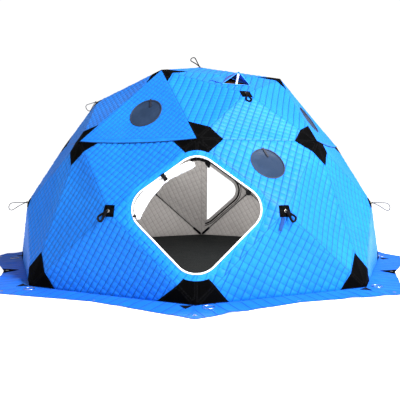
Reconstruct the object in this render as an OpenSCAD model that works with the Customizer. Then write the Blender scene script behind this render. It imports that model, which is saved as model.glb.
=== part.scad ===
// Pop-up hub shelter for ice fishing.
// Eight walls, four roof panels and a crown are each pushed out by a hub with four poles inside.
// Four flat triangular panels close the roof corners. Z is up and the ground is at z = 0.
// Angles run from the front, which faces -Y, round towards +X.

/* [Shell] */
// Radius of the ground corners, at the foot of each wall seam
ground_r = 2050; // [1700:10:2500]
// Radius of the eave corners, where the walls meet the roof
eave_r = 1563; // [1300:1:1900]
// Height of the eave corners
eave_z = 1272; // [1050:1:1540]
// Radius of the four crown corners
crown_r = 940; // [780:1:1130]
// Height of the crown corners
crown_z = 1986; // [1900:1:2400]
// Thickness of the quilted fabric
fabric_t = 6; // [4:0.5:10]
// Hairline between neighbouring pieces of fabric at a sewn edge
seam = 0.4; // [0.2:0.1:0.8]
// Hairline under a piece that lies on another
lay_gap = 0.2; // [0.1:0.1:0.5]

/* [Hubs and poles] */
// How far a hub pushes its wall out
wall_bulge = 204; // [150:1:260]
// Distance of a wall hub from the ground edge, measured up the wall
wall_hub_up = 647; // [540:1:780]
// How far a hub pushes its roof panel out
roof_bulge = 154; // [120:1:200]
// Distance of a roof hub from the eave edge, measured up the roof panel
roof_hub_up = 503; // [420:1:600]
// How far the top hub pushes the crown up
crown_bulge = 197; // [150:1:250]
// Diameter of a glass-fibre pole
pole_d = 11; // [8:0.5:14]
// Distance of a pole's centre line inside the fold that it lies along
pole_inset = 12; // [10:0.5:16]
// Solid end of a pole socket, beyond the disc's edge
socket_step = 4; // [2:0.5:8]
// Clearance round a pole in its sockets
pole_gap = 0.3; // [0.2:0.1:0.6]
// Radius of the disc of a hub bracket
bracket_r = 40; // [34:1:46]
// Thickness of the disc of a hub bracket
bracket_t = 20; // [16:1:26]
// Depth of the bracket's disc below the hub's point
bracket_drop = 17; // [16:1:24]
// Outside diameter of a pole socket
socket_d = 19; // [17:0.5:21]
// Distance from the hub's point to the end of a pole socket
socket_reach = 80; // [70:1:100]
// Diameter of the bolt that carries the bracket through the fabric
bolt_d = 10; // [8:1:14]
// Clearance of the bolt in the fabric
bolt_gap = 0.5; // [0.3:0.1:0.8]
// Diameter of the bolt's outer cap
cap_d = 34; // [26:1:44]
// Thickness of the bolt's outer cap
cap_t = 5; // [3:0.5:8]
// Distance from a corner to the closed end of a pole pocket
pocket_start = 40; // [36:1:60]
// Length of a pole pocket
pocket_l = 140; // [60:1:180]

/* [Patches] */
// Thickness of the black reinforcing patches
patch_t = 2; // [1:0.5:3]
// Reach of a ground patch up the wall seam
ground_tip_up = 306; // [240:1:360]
// Reach of a ground patch along the ground
ground_tip_along = 272; // [220:1:320]
// Reach of a ground patch along its poles
ground_notch = 208; // [150:1:220]
// Reach of an eave patch down the wall seam
eave_tip_down = 240; // [190:1:290]
// Reach of an eave patch along the eave
eave_tip_along = 242; // [190:1:290]
// Reach of an eave patch along the wall's poles
eave_notch = 155; // [110:1:160]
// Reach of an eave patch up the roof seam
eave_tip_up = 235; // [190:1:280]
// Reach of an eave patch along the roof's poles
eave_notch_up = 190; // [130:1:200]
// Reach of a crown patch along the crown's edge
crown_tip_along = 265; // [200:1:300]
// Reach of a crown patch down the roof seam
crown_tip_down = 200; // [160:1:240]
// Reach of a crown patch along the poles
crown_notch = 120; // [90:1:150]
// Half the diagonal of the square patch at a hub
hub_patch_half = 62; // [45:1:80]

/* [Doors] */
// Half the width of the doorway, which is a kite with rounded corners
door_reach = 516; // [440:1:540]
// Radius of the doorway's rounded corners
door_corner_r = 186; // [150:1:220]
// Height of the doorway's foot, measured up the wall seam
door_foot_up = 240; // [220:1:300]
// Height of the doorway's side corners, measured up the wall seam
door_side_up = 764; // [740:1:790]
// Height of the doorway's head, measured up the wall seam
door_head_up = 1196; // [1100:1:1240]
// Width of the piping round a doorway
piping_w = 24; // [16:1:30]
// Thickness of the piping
piping_t = 5; // [3:0.5:8]
// Width of fabric left between a doorway and the patches above and below it
door_patch_gap = 45; // [32:1:60]
// Side distance from the back door's middle to the line where its flap is folded back
fold_x = 80; // [0:5:160]
// Hairline round the closed half of the back door
flap_gap = 0.4; // [0.2:0.1:0.8]
// Thickness of the straps that hold the rolled flap
strap_t = 3; // [2:0.5:4]
// Width of those straps
strap_w = 24; // [18:1:34]

/* [Windows and vent] */
// Radius of a window
window_r = 155; // [120:1:175]
// Distance of a wall window's centre below the eave
window_down = 250; // [215:1:280]
// Distance of a roof window's centre above the eave
roof_window_up = 324; // [290:1:350]
// Thickness of the window film
film_t = 2; // [1:0.5:3]
// Width of a window's rim
rim_w = 12; // [8:1:20]
// Thickness of a window's rim
rim_t = 2.5; // [1.5:0.5:4]
// Width of the vent hood's mouth
hood_w = 300; // [240:1:330]
// Height of the vent hood's mouth
hood_h = 130; // [90:1:160]
// Distance of the hood's mouth below the crown's edge
hood_down = 335; // [300:1:350]
// Length of the hood's ridge, from the mouth up the roof
hood_l = 250; // [200:1:280]
// Thickness of the hood's fabric
hood_t = 3; // [2:0.5:5]
// Width of the strut that props the hood open
strut_w = 45; // [30:1:60]
// Thickness of the strut
strut_t = 2; // [1.5:0.5:4]

/* [Skirt and floor] */
// Radius of the skirt's corners
skirt_r = 2390; // [2200:5:2700]
// Radius of the notches in the skirt's edge, at the middle of each wall
notch_r = 2100; // [2030:5:2200]
// Thickness of the skirt
skirt_t = 4; // [3:0.5:6]
// Thickness of the floor sheet
floor_t = 3; // [2:0.5:6]
// Half the width of the black patch at a notch
notch_patch_half = 120; // [80:1:150]
// Depth of the black patch at a notch
notch_patch_l = 140; // [100:1:160]
// Radius of the circle through the eyelets at the skirt's corners
eyelet_corner_r = 2302; // [2250:1:2340]
// Radius of the circle through the eyelets in the notch patches
eyelet_notch_r = 2068; // [2040:1:2080]
// Bore of an eyelet
eyelet_d = 13; // [10:0.5:16]
// Wall of an eyelet's barrel
eyelet_wall = 2; // [1.5:0.5:3]
// Width of an eyelet's flange beyond its barrel
eyelet_flange = 6; // [4:0.5:9]
// Thickness of an eyelet's flange
flange_t = 1; // [0.5:0.5:2]
// Diameter of the pegging rings at the ground corners
ring_d = 92; // [60:1:110]
// Thickness of the wire of a pegging ring
ring_t = 5; // [4:0.5:8]
// Width of the webbing tab under a pegging ring
tab_w = 50; // [38:1:60]
// Side distance of a ring, and of its tab on the other side, from the corner
tab_side = 95; // [70:1:140]
// Length of the webbing tab
tab_l = 72; // [50:1:100]

/* [Pull loops] */
// Length of a hub's pull loop
loop_l = 135; // [100:1:170]
// Radius of the loop's round end
loop_end_r = 27; // [20:1:34]
// Thickness of the loop's webbing
loop_t = 4; // [3:0.5:6]
// Width of the loop's webbing
loop_w = 12; // [8:1:20]
// Angle by which a loop droops away from the hub's axis
loop_droop = 38; // [10:1:50]

/* [Hidden] */

WALLS = 8;
ROOFS = 4;
wall_turn = 360 / WALLS;
roof_turn = 360 / ROOFS;
doorway_seams = [0, 4];
window_walls = [0, 4];
// The two notches beside the front doorway have an eyelet without a patch
patched_notches = [1:WALLS - 2];
plain_notches = [0, WALLS - 1];
ALL_CORNERS = [0:WALLS - 1];
lift = fabric_t + lay_gap;
sheet_over = 20;
hair = 0.5;
through = 1;
loop_steps = 12;
balls_fn = 24;
$fn = 48;

// Points on the shell

function spot(r, a, z) = [r * sin(a), -r * cos(a), z];
function ground(k) = spot(ground_r, wall_turn * k, 0);
function eave(k) = spot(eave_r, wall_turn * k, eave_z);
function crown(k) = spot(crown_r, roof_turn * k - wall_turn / 2, crown_z);

function unit(v) = v / norm(v);
function mid(a, b) = (a + b) / 2;

// The hub of a four-cornered panel: part of the way up its middle, and pushed out from it.
function hub_of(a, b, c, d, up, bulge) =
    let(foot = mid(a, b), rise = unit(mid(c, d) - foot), out = cross(unit(b - a), rise))
    foot + up * rise + bulge * out;

// A panel is its four corners, anticlockwise from outside starting at the lower left, and its hub.
function panel(a, b, c, d, up, bulge) = [a, b, c, d, hub_of(a, b, c, d, up, bulge)];
function wall(k) =
    panel(ground(k), ground(k + 1), eave(k + 1), eave(k), wall_hub_up, wall_bulge);
function roof(k) =
    panel(eave(2 * k), eave(2 * k + 1), crown(k + 1), crown(k), roof_hub_up, roof_bulge);
crown_panel =
    panel(crown(0), crown(1), crown(2), crown(3), norm(crown(1) - crown(0)) / 2, crown_bulge);

function wall_panels() = [for (k = [0:WALLS - 1]) wall(k)];
function roof_panels() = [for (k = [0:ROOFS - 1]) roof(k)];
function all_panels() = concat(wall_panels(), roof_panels(), [crown_panel]);

// A roof corner is a flat triangle: two eave corners and a crown corner.
function roof_corner(k) = [eave(2 * k - 1), eave(2 * k), crown(k)];

function side(p, i) = [p[i], p[(i + 1) % 4], p[4]];
function facing(t) = unit(cross(t[1] - t[0], t[2] - t[0]));
function panel_out(p) = facing([p[0], p[1], p[2]]);

// A triangle with each edge moved in by the same distance.
function inset(t, by) =
    let(
        sides = [norm(t[1] - t[2]), norm(t[2] - t[0]), norm(t[0] - t[1])],
        round_it = sides[0] + sides[1] + sides[2],
        centre = (sides[0] * t[0] + sides[1] * t[1] + sides[2] * t[2]) / round_it,
        inner_r = norm(cross(t[1] - t[0], t[2] - t[0])) / round_it
    )
    [for (v = t) centre + (v - centre) * (1 - by / inner_r)];

// Where a roof facet is steeper than the wall facet below it, the fold at the eave is a valley,
// and the roof's plate keeps clear of the wall's by this much more.
function valley_room(wall_out, roof_out) =
    wall_out[2] > roof_out[2]
        ? (lift + patch_t) * tan(asin(min(1, norm(cross(wall_out, roof_out))))) : 0;
eave_room = valley_room(facing(side(wall(0), 2)), facing(side(roof(0), 0)));
corner_room = valley_room(facing(side(wall(WALLS - 1), 2)), facing(roof_corner(0)));

// Places

// Puts its children on a point, with their x, y and z axes along the three given directions.
module placed(at, x, y, z) {
    multmatrix([
        [x[0], y[0], z[0], at[0]],
        [x[1], y[1], z[1], at[1]],
        [x[2], y[2], z[2], at[2]],
        [0, 0, 0, 1]
    ]) children();
}

// Puts its children in the plane of a triangle: x along its first edge, z outwards.
module on_plane(t) {
    x = unit(t[1] - t[0]);
    z = facing(t);
    placed(t[0], x, cross(z, x), z) children();
}

// Puts its children on a panel's hub: z straight out, x level.
module on_hub(p) {
    x = unit(p[1] - p[0]);
    z = panel_out(p);
    placed(p[4], x, cross(z, x), z) children();
}

// Puts its children in the wall facet beside a seam: y up the seam, x to the right, z outwards.
// side_sign is 1 for the facet on the right of the seam and -1 for the one on its left.
module beside_seam(k, side_sign) {
    hub = wall(side_sign > 0 ? k : k - 1)[4];
    y = unit(eave(k) - ground(k));
    reach = hub - ground(k);
    x = side_sign * unit(reach - (reach * y) * y);
    placed(ground(k), x, y, cross(x, y)) children();
}

// A straight round bar, or a tube with a bore, between two points.
module rod(a, b, d, bore = 0) {
    z = unit(b - a);
    x = unit(cross(z, abs(z[2]) > 0.9 ? [1, 0, 0] : [0, 0, 1]));
    placed(a, x, cross(z, x), z) difference() {
        cylinder(h = norm(b - a), d = d);
        if (bore > 0)
            translate([0, 0, -through]) cylinder(h = norm(b - a) + 2 * through, d = bore);
    }
}

// A flat triangular plate lying a given height above a triangle of the shell.
module plate(t, thick, height = 0, room = 0) {
    s = inset(t, seam / 2 + room);
    x = unit(s[1] - s[0]);
    y = cross(facing(s), x);
    on_plane(s) translate([0, 0, height]) linear_extrude(thick)
        polygon([[0, 0], [norm(s[1] - s[0]), 0], [(s[2] - s[0]) * x, (s[2] - s[0]) * y]]);
}

// Fabric

module hub_hole(p) {
    on_hub(p) translate([0, 0, -sheet_over])
        cylinder(h = 2 * sheet_over, d = bolt_d + 2 * bolt_gap);
}

module panel_fabric(p, room = 0) {
    difference() {
        for (i = [0:3]) plate(side(p, i), fabric_t, 0, i == 0 ? room : 0);
        hub_hole(p);
    }
}

// The kite with rounded corners that every door shape starts from.
module doorway(grow = 0) {
    side_x = door_reach - door_corner_r;
    offset(r = door_corner_r + grow)
        polygon([
            [0, door_foot_up + door_corner_r],
            [side_x, door_side_up],
            [0, door_head_up - door_corner_r],
            [-side_x, door_side_up]
        ]);
}

// A square that covers one side of a seam, from a given distance to the right of it.
module right_of(x, side_sign) {
    translate([side_sign > 0 ? x : x - 2 * ground_r, -ground_r / 2]) square(2 * ground_r);
}

module doorway_cut(k) {
    for (side_sign = [-1, 1])
        beside_seam(k, side_sign) translate([0, 0, -sheet_over]) linear_extrude(3 * sheet_over)
            doorway();
}

module on_wall_window(k) {
    p = wall(k);
    on_plane(side(p, 2)) translate([norm(p[3] - p[2]) / 2, window_down]) children();
}

module on_roof_window(k) {
    t = roof_corner(k);
    on_plane(t) translate([norm(t[1] - t[0]) / 2, roof_window_up]) children();
}

module window_hole() {
    translate([0, 0, -through]) cylinder(h = fabric_t + 2 * through, r = window_r);
}

module wall_fabric(k, doorway_seam = -1, window = false) {
    difference() {
        panel_fabric(wall(k));
        if (doorway_seam >= 0) doorway_cut(doorway_seam);
        if (window) on_wall_window(k) window_hole();
    }
}

module roof_corner_fabric(k) {
    difference() {
        plate(roof_corner(k), fabric_t, 0, corner_room);
        on_roof_window(k) window_hole();
    }
}

module wall_front_right() { color("deepskyblue") wall_fabric(0, 0, true); }
module wall_right_front() { color("deepskyblue") wall_fabric(1); }
module wall_right_back() { color("deepskyblue") wall_fabric(2); }
module wall_back_right() { color("dodgerblue") wall_fabric(3, 4); }
module wall_back_left() { color("dodgerblue") wall_fabric(4, 4, true); }
module wall_left_back() { color("steelblue") wall_fabric(5); }
module wall_left_front() { color("steelblue") wall_fabric(6); }
module wall_front_left() { color("dodgerblue") wall_fabric(7, 8); }

module roof_front() { color("deepskyblue") panel_fabric(roof(0), eave_room); }
module roof_right() { color("deepskyblue") panel_fabric(roof(1), eave_room); }
module roof_back() { color("dodgerblue") panel_fabric(roof(2), eave_room); }
module roof_left() { color("steelblue") panel_fabric(roof(3), eave_room); }

module roof_corner_front() { color("dodgerblue") roof_corner_fabric(0); }
module roof_corner_right() { color("deepskyblue") roof_corner_fabric(1); }
module roof_corner_back() { color("dodgerblue") roof_corner_fabric(2); }
module roof_corner_left() { color("steelblue") roof_corner_fabric(3); }

module roof_crown() { color("dodgerblue") panel_fabric(crown_panel); }

// Patches

// One leaf of a patch: from a corner, along an edge of the panel and along the pole.
module leaf(corner, along, hub, tip, notch, room = 0) {
    e = corner + tip * unit(along - corner);
    h = corner + notch * unit(hub - corner);
    plate([corner, e, h], patch_t, lift, room);
}

// The leaf on the other side of the pole, which runs back to the panel's previous corner.
module leaf_back(corner, along, hub, tip, notch, room = 0) {
    e = corner + tip * unit(along - corner);
    h = corner + notch * unit(hub - corner);
    plate([corner, h, e], patch_t, lift, room);
}

module clear_of_doorway(k) {
    for (side_sign = [-1, 1])
        beside_seam(k, side_sign) translate([0, 0, -sheet_over]) linear_extrude(3 * sheet_over)
            doorway(door_patch_gap);
}

module ground_patches() {
    color("black") difference() {
        for (k = [0:WALLS - 1]) {
            p = wall(k);
            leaf(p[0], p[1], p[4], ground_tip_along, ground_notch);
            leaf_back(p[0], p[3], p[4], ground_tip_up, ground_notch);
            leaf(p[1], p[2], p[4], ground_tip_up, ground_notch);
            leaf_back(p[1], p[0], p[4], ground_tip_along, ground_notch);
        }
        for (k = doorway_seams) clear_of_doorway(k);
        translate([0, 0, -sheet_over]) cylinder(h = sheet_over + skirt_t + lay_gap, r = skirt_r);
    }
}

module eave_patches() {
    color("black") difference() {
        union() {
            for (k = [0:WALLS - 1]) {
                p = wall(k);
                leaf(p[2], p[3], p[4], eave_tip_along, eave_notch);
                leaf_back(p[2], p[1], p[4], eave_tip_down, eave_notch);
                leaf(p[3], p[0], p[4], eave_tip_down, eave_notch);
                leaf_back(p[3], p[2], p[4], eave_tip_along, eave_notch);
            }
            for (p = roof_panels()) {
                leaf(p[0], p[1], p[4], eave_tip_along, eave_notch_up, eave_room);
                leaf_back(p[0], p[3], p[4], eave_tip_up, eave_notch_up);
                leaf(p[1], p[2], p[4], eave_tip_up, eave_notch_up);
                leaf_back(p[1], p[0], p[4], eave_tip_along, eave_notch_up, eave_room);
            }
        }
        for (k = doorway_seams) clear_of_doorway(k);
    }
}

module crown_patches() {
    color("black") {
        for (p = roof_panels()) {
            leaf(p[2], p[3], p[4], crown_tip_along, crown_notch);
            leaf_back(p[2], p[1], p[4], crown_tip_down, crown_notch);
            leaf(p[3], p[0], p[4], crown_tip_down, crown_notch);
            leaf_back(p[3], p[2], p[4], crown_tip_along, crown_notch);
        }
        for (i = [0:3]) {
            leaf(crown(i), crown(i + 1), crown_panel[4], crown_tip_along, crown_notch);
            leaf_back(crown(i), crown(i + 3), crown_panel[4], crown_tip_along, crown_notch);
        }
    }
}

module hub_patches() {
    color("dimgray") for (p = all_panels()) difference() {
        for (i = [0:3])
            plate(
                [
                    p[4],
                    p[4] + hub_patch_half * unit(p[i] - p[4]),
                    p[4] + hub_patch_half * unit(p[(i + 1) % 4] - p[4])
                ],
                patch_t,
                lift
            );
        hub_hole(p);
    }
}

// Hubs and poles

// The way a pole is moved inwards from the fold of the two facets that meet over it.
function inwards(p, i) = -unit(facing(side(p, i)) + facing(side(p, (i + 3) % 4)));
function run(p, i) = unit(p[i] - p[4]);
function near_hub(p, i, d) = p[4] + d * run(p, i) + pole_inset * inwards(p, i);
function near_corner(p, i, d) = p[i] - d * run(p, i) + pole_inset * inwards(p, i);

// A pocket's diameter lets it lie against the two facets.
function pocket_d(p, i) = 2 * (-pole_inset * (inwards(p, i) * facing(side(p, i))) - seam);

bore_d = pole_d + 2 * pole_gap;
socket_floor = bracket_r + socket_step;

// The patch's four leaves are proud of the hub's own point where they meet.
leaf_lean = 1 / (panel_out(wall(0)) * facing(side(wall(0), 0)));
cap_lift = (lift + patch_t) * leaf_lean + lay_gap;

module hub_brackets() {
    color([0.12, 0.12, 0.13]) for (p = all_panels()) {
        difference() {
            union() {
                on_hub(p) translate([0, 0, -bracket_drop - bracket_t])
                    cylinder(h = bracket_t, r = bracket_r);
                for (i = [0:3])
                    rod(near_hub(p, i, bracket_r / 2), near_hub(p, i, socket_reach), socket_d);
            }
            for (i = [0:3])
                rod(
                    near_hub(p, i, socket_floor),
                    near_hub(p, i, socket_reach + sheet_over),
                    bore_d
                );
        }
    }
}

module hub_bolts() {
    color("silver") for (p = all_panels()) on_hub(p) {
        translate([0, 0, lay_gap - bracket_drop])
            cylinder(h = bracket_drop + cap_lift - lay_gap, d = bolt_d);
        translate([0, 0, cap_lift]) cylinder(h = cap_t, d = cap_d);
    }
}

module poles(panels) {
    color("black") for (p = panels, i = [0:3])
        rod(
            near_hub(p, i, socket_floor + pole_gap),
            near_corner(p, i, pocket_start + pole_gap),
            pole_d
        );
}

module wall_poles() { poles(wall_panels()); }
module roof_poles() { poles(concat(roof_panels(), [crown_panel])); }

module pole_pockets() {
    color([0.08, 0.08, 0.08]) for (p = all_panels(), i = [0:3])
        rod(
            near_corner(p, i, pocket_start),
            near_corner(p, i, pocket_start + pocket_l),
            pocket_d(p, i),
            bore_d
        );
}

// Pull loops

// A teardrop: two straight sides from a point to a round end.
function teardrop(length, r) =
    let(far = length - r, turn = acos(r / far))
    concat(
        [[0, 0]],
        [for (s = [0:loop_steps])
            let(a = 180 - turn - s * (360 - 2 * turn) / loop_steps)
            [far, 0] + r * [cos(a), sin(a)]]
    );

// A loop leans away from its hub's axis, straight down the panel or turned from there.
module pull_loop(turn, spin) {
    translate([0, 0, cap_lift + cap_t + lay_gap])
        rotate(turn) rotate([0, loop_droop - 90, 0]) rotate([spin, 0, 0])
            translate([0, 0, -loop_w / 2]) linear_extrude(loop_w) difference() {
                polygon(teardrop(loop_l, loop_end_r));
                translate([3 * loop_t, 0])
                    polygon(teardrop(loop_l - 4 * loop_t, loop_end_r - loop_t));
            }
}

module pull_loops() {
    color("black") for (p = all_panels()) on_hub(p) pull_loop(-90, 90);
}

// Doors

module door_piping(k) {
    for (side_sign = [-1, 1])
        beside_seam(k, side_sign) translate([0, 0, lift]) linear_extrude(piping_t)
            intersection() {
                difference() {
                    doorway(piping_w);
                    doorway();
                }
                right_of(side_sign * seam / 2, side_sign);
            }
}

module front_door_piping() { color("white") door_piping(0); }
module back_door_piping() { color("white") door_piping(4); }

// The rolled flap hangs inside the upper left edge of the doorway and turns down at its corner.
roll_path = [
    // across, up the seam, radius, depth of the centre inside the wall
    [-20, 1128, 22, 28],
    [-241, 1022, 34, 40],
    [-436, 850, 46, 52],
    [-458, 715, 28, 38]
];

module roll_ball(s) {
    translate([s[0], s[1], -s[3]]) sphere(s[2], $fn = balls_fn);
}

module front_door_roll() {
    color("white") beside_seam(0, -1) {
        hull() { roll_ball(roll_path[0]); roll_ball(roll_path[1]); }
        hull() { roll_ball(roll_path[1]); roll_ball(roll_path[2]); }
        hull() { roll_ball(roll_path[2]); roll_ball(roll_path[3]); }
    }
}

roll_straps = [
    // point of the path, ease round the roll there, length of the tail
    [1, 3.4, 78],
    [3, 4.8, 110]
];

// A strap round the roll at one of its path's points, with a tail that lies on the wall's inside.
module roll_strap(i, ease, tail) {
    s = roll_path[i];
    before = roll_path[i - 1];
    after = roll_path[min(i + 1, len(roll_path) - 1)];
    inner = s[2] + ease;
    translate([s[0], s[1], -s[3]])
        rotate(atan2(after[1] - before[1], after[0] - before[0])) {
            rotate([0, 90, 0]) translate([0, 0, -strap_w / 2]) difference() {
                cylinder(h = strap_w, r = inner + strap_t);
                translate([0, 0, -through]) cylinder(h = strap_w + 2 * through, r = inner);
            }
            translate([-strap_w / 2, -tail, s[3] - seam - strap_t])
                cube([strap_w, tail, strap_t]);
        }
}

module door_straps() {
    color("black") beside_seam(0, -1) for (s = roll_straps) roll_strap(s[0], s[1], s[2]);
}

// The closed part of the back door, which reaches from its left corner to the fold line.
// Seen from outside, left and right swap: the fold line is on the left of the seam.
module back_door_closed() {
    color("dodgerblue") {
        beside_seam(4, 1) linear_extrude(fabric_t) intersection() {
            doorway(-flap_gap);
            right_of(seam / 2, 1);
        }
        beside_seam(4, -1) linear_extrude(fabric_t) intersection() {
            doorway(-flap_gap);
            right_of(-seam / 2, -1);
            right_of(-fold_x, 1);
        }
    }
}

// The open part of the back door, folded back over the closed part along the fold line.
module folded_outline() {
    translate([-2 * fold_x, 0]) doorway(-flap_gap);
}

module back_door_folded() {
    color("royalblue") {
        beside_seam(4, 1) translate([0, 0, lift]) linear_extrude(fabric_t) intersection() {
            folded_outline();
            right_of(seam / 2, 1);
        }
        beside_seam(4, -1) translate([0, 0, lift]) linear_extrude(fabric_t) intersection() {
            folded_outline();
            right_of(-seam / 2, -1);
            right_of(-fold_x, 1);
        }
    }
}

// Windows and vent

module film() {
    translate([0, 0, (fabric_t - film_t) / 2]) cylinder(h = film_t, r = window_r - flap_gap);
}

module rim() {
    translate([0, 0, lift]) difference() {
        cylinder(h = rim_t, r = window_r + rim_w / 2);
        translate([0, 0, -through])
            cylinder(h = rim_t + 2 * through, r = window_r - rim_w / 2);
    }
}

module wall_windows() { color("slategray") for (k = window_walls) on_wall_window(k) film(); }
module wall_window_rims() { color("black") for (k = window_walls) on_wall_window(k) rim(); }
module roof_windows() {
    color("slategray") for (k = [0:ROOFS - 1]) on_roof_window(k) film();
}
module roof_window_rims() {
    color("black") for (k = [0:ROOFS - 1]) on_roof_window(k) rim();
}

// Puts its children at the foot of the hood's mouth: x across, y up the roof, z outwards.
module on_vent() {
    p = roof(0);
    x = unit(p[1] - p[0]);
    z = facing(side(p, 2));
    placed(mid(p[2], p[3]) - hood_down * cross(z, x), x, cross(z, x), z)
        translate([0, 0, lift]) children();
}

// A tetrahedron with its mouth at y = 0 and its foot at z = 0.
module hood_form(w, h, l) {
    polyhedron(
        points = [[-w / 2, 0, 0], [w / 2, 0, 0], [0, 0, h], [0, l, 0]],
        faces = [[0, 1, 3], [0, 2, 1], [1, 2, 3], [0, 3, 2]]
    );
}

// Distance from the middle of the foot line to the hood's sides.
hood_depth = 1 / norm([2 / hood_w, 1 / hood_l, 1 / hood_h]);
hood_share = 1 - hood_t / hood_depth;

module vent_hood() {
    color("royalblue") on_vent() difference() {
        hood_form(hood_w, hood_h, hood_l);
        translate([0, -hair, -hair])
            hood_form(hood_w * hood_share, hood_h * hood_share, hood_l * hood_share);
    }
}

module vent_strut() {
    room = 1 - strut_w / (hood_w * hood_share) - 2 * strut_t / (hood_l * hood_share);
    color("white") on_vent()
        translate([-strut_w / 2, strut_t / 2, lay_gap])
            cube([strut_w, strut_t, hood_h * hood_share * room - 2 * hair]);
}

// Skirt and floor

function skirt_corner(k) = spot(skirt_r, wall_turn * k, 0);
function notch(k) = spot(notch_r, wall_turn * (k + 0.5), 0);

// The skirt's inner edge keeps clear of the walls' outer faces, which may lean out over it.
foot_out = facing(side(wall(0), 0));
foot_level = norm([foot_out[0], foot_out[1]]);
foot_lean = max(0, -foot_out[2]) / foot_level;
wall_clear = fabric_t / foot_level + (skirt_t + patch_t) * foot_lean + seam;
function foot(k, sheet_r) = spot(sheet_r, wall_turn * k, 0);
skirt_in_r = ground_r + wall_clear / cos(wall_turn / 2);
floor_r = ground_r - seam / cos(wall_turn / 2);

function flat2(v) = [v[0], v[1]];

module skirt_half(k, turn) {
    inner = foot(k + (turn > 0 ? 0 : 1), skirt_in_r);
    outer = skirt_corner(k + (turn > 0 ? 0 : 1));
    middle = mid(foot(k, skirt_in_r), foot(k + 1, skirt_in_r));
    across = unit(foot(k + 1, skirt_in_r) - foot(k, skirt_in_r)) * seam / 2 * turn;
    round = cross([0, 0, 1], unit(outer)) * seam / 2 * turn;
    linear_extrude(skirt_t)
        polygon([for (v = [inner + round, outer + round, notch(k) - across, middle - across])
            flat2(v)]);
}

module eyelet_places(r, turns) {
    for (k = turns) rotate(wall_turn * k) translate([0, -r, 0]) children();
}

function halfway(turns) = [for (k = turns) k + 0.5];

barrel_d = eyelet_d + 2 * eyelet_wall;

module eyelet_hole() {
    translate([0, 0, -through]) cylinder(h = 4 * skirt_t, d = barrel_d + 2 * lay_gap);
}

module skirt() {
    color("deepskyblue") difference() {
        for (k = [0:WALLS - 1], turn = [-1, 1]) skirt_half(k, turn);
        eyelet_places(eyelet_corner_r, ALL_CORNERS) eyelet_hole();
        eyelet_places(eyelet_notch_r, halfway(ALL_CORNERS)) eyelet_hole();
    }
}

module skirt_patches() {
    color("black") difference() {
        for (k = patched_notches) {
            n = notch(k);
            inner = n - notch_patch_l * unit(n);
            left = n + notch_patch_half * unit(skirt_corner(k) - n);
            right = n + notch_patch_half * unit(skirt_corner(k + 1) - n);
            translate([0, 0, skirt_t + lay_gap]) linear_extrude(patch_t)
                polygon([for (v = [n, right, inner, left]) flat2(v)]);
        }
        eyelet_places(eyelet_notch_r, halfway(ALL_CORNERS)) eyelet_hole();
    }
}

// An eyelet's barrel starts on the ground and its flange lies on the fabric.
module eyelet(flange_z) {
    rotate_extrude() {
        translate([eyelet_d / 2, 0]) square([eyelet_wall, flange_z + flange_t]);
        translate([eyelet_d / 2, flange_z]) square([eyelet_wall + eyelet_flange, flange_t]);
    }
}

module eyelets() {
    color("silver") {
        eyelet_places(eyelet_corner_r, ALL_CORNERS) eyelet(skirt_t + lay_gap);
        eyelet_places(eyelet_notch_r, halfway(patched_notches)) eyelet(skirt_t + patch_t + 2 * lay_gap);
        eyelet_places(eyelet_notch_r, halfway(plain_notches)) eyelet(skirt_t + lay_gap);
    }
}

module ground_tabs() {
    color("black") eyelet_places(skirt_in_r + 4 * lay_gap, ALL_CORNERS)
        translate([-tab_side, 0, skirt_t + lay_gap]) linear_extrude(patch_t)
            polygon([[-tab_w / 2, 0], [tab_w / 2, 0], [0, -tab_l]]);
}

module peg_rings() {
    color("silver") eyelet_places(skirt_in_r + ring_d / 2, ALL_CORNERS)
        translate([tab_side, 0, skirt_t + lay_gap + ring_t / 2])
            rotate_extrude() translate([(ring_d - ring_t) / 2, 0]) circle(d = ring_t, $fn = balls_fn);
}

module floor_sheet() {
    color([0.18, 0.19, 0.19]) linear_extrude(floor_t)
        polygon([for (k = [0:WALLS - 1]) flat2(foot(k, floor_r))]);
}

wall_front_right();
wall_right_front();
wall_right_back();
wall_back_right();
wall_back_left();
wall_left_back();
wall_left_front();
wall_front_left();
roof_front();
roof_right();
roof_back();
roof_left();
roof_corner_front();
roof_corner_right();
roof_corner_back();
roof_corner_left();
roof_crown();
ground_patches();
eave_patches();
crown_patches();
hub_patches();
hub_brackets();
hub_bolts();
wall_poles();
roof_poles();
pole_pockets();
pull_loops();
front_door_piping();
back_door_piping();
front_door_roll();
door_straps();
back_door_closed();
back_door_folded();
wall_windows();
wall_window_rims();
roof_windows();
roof_window_rims();
vent_hood();
vent_strut();
skirt();
skirt_patches();
eyelets();
ground_tabs();
peg_rings();
floor_sheet();
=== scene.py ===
# %% [markdown]
# A pop-up hub shelter for ice fishing, made of quilted blue cloth. Eight walls and
# four roof panels are each pushed out by a hub with four springy poles behind the
# cloth, a fifth kind of hub lifts the crown, and four flat triangles close the
# roof corners. The CAD model gives the frame and every size. This script puts
# the cloth, the trim and the finishes round it.

# %% Load the frame
import math

import bpy
import numpy as np
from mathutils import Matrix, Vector, geometry, noise


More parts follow.
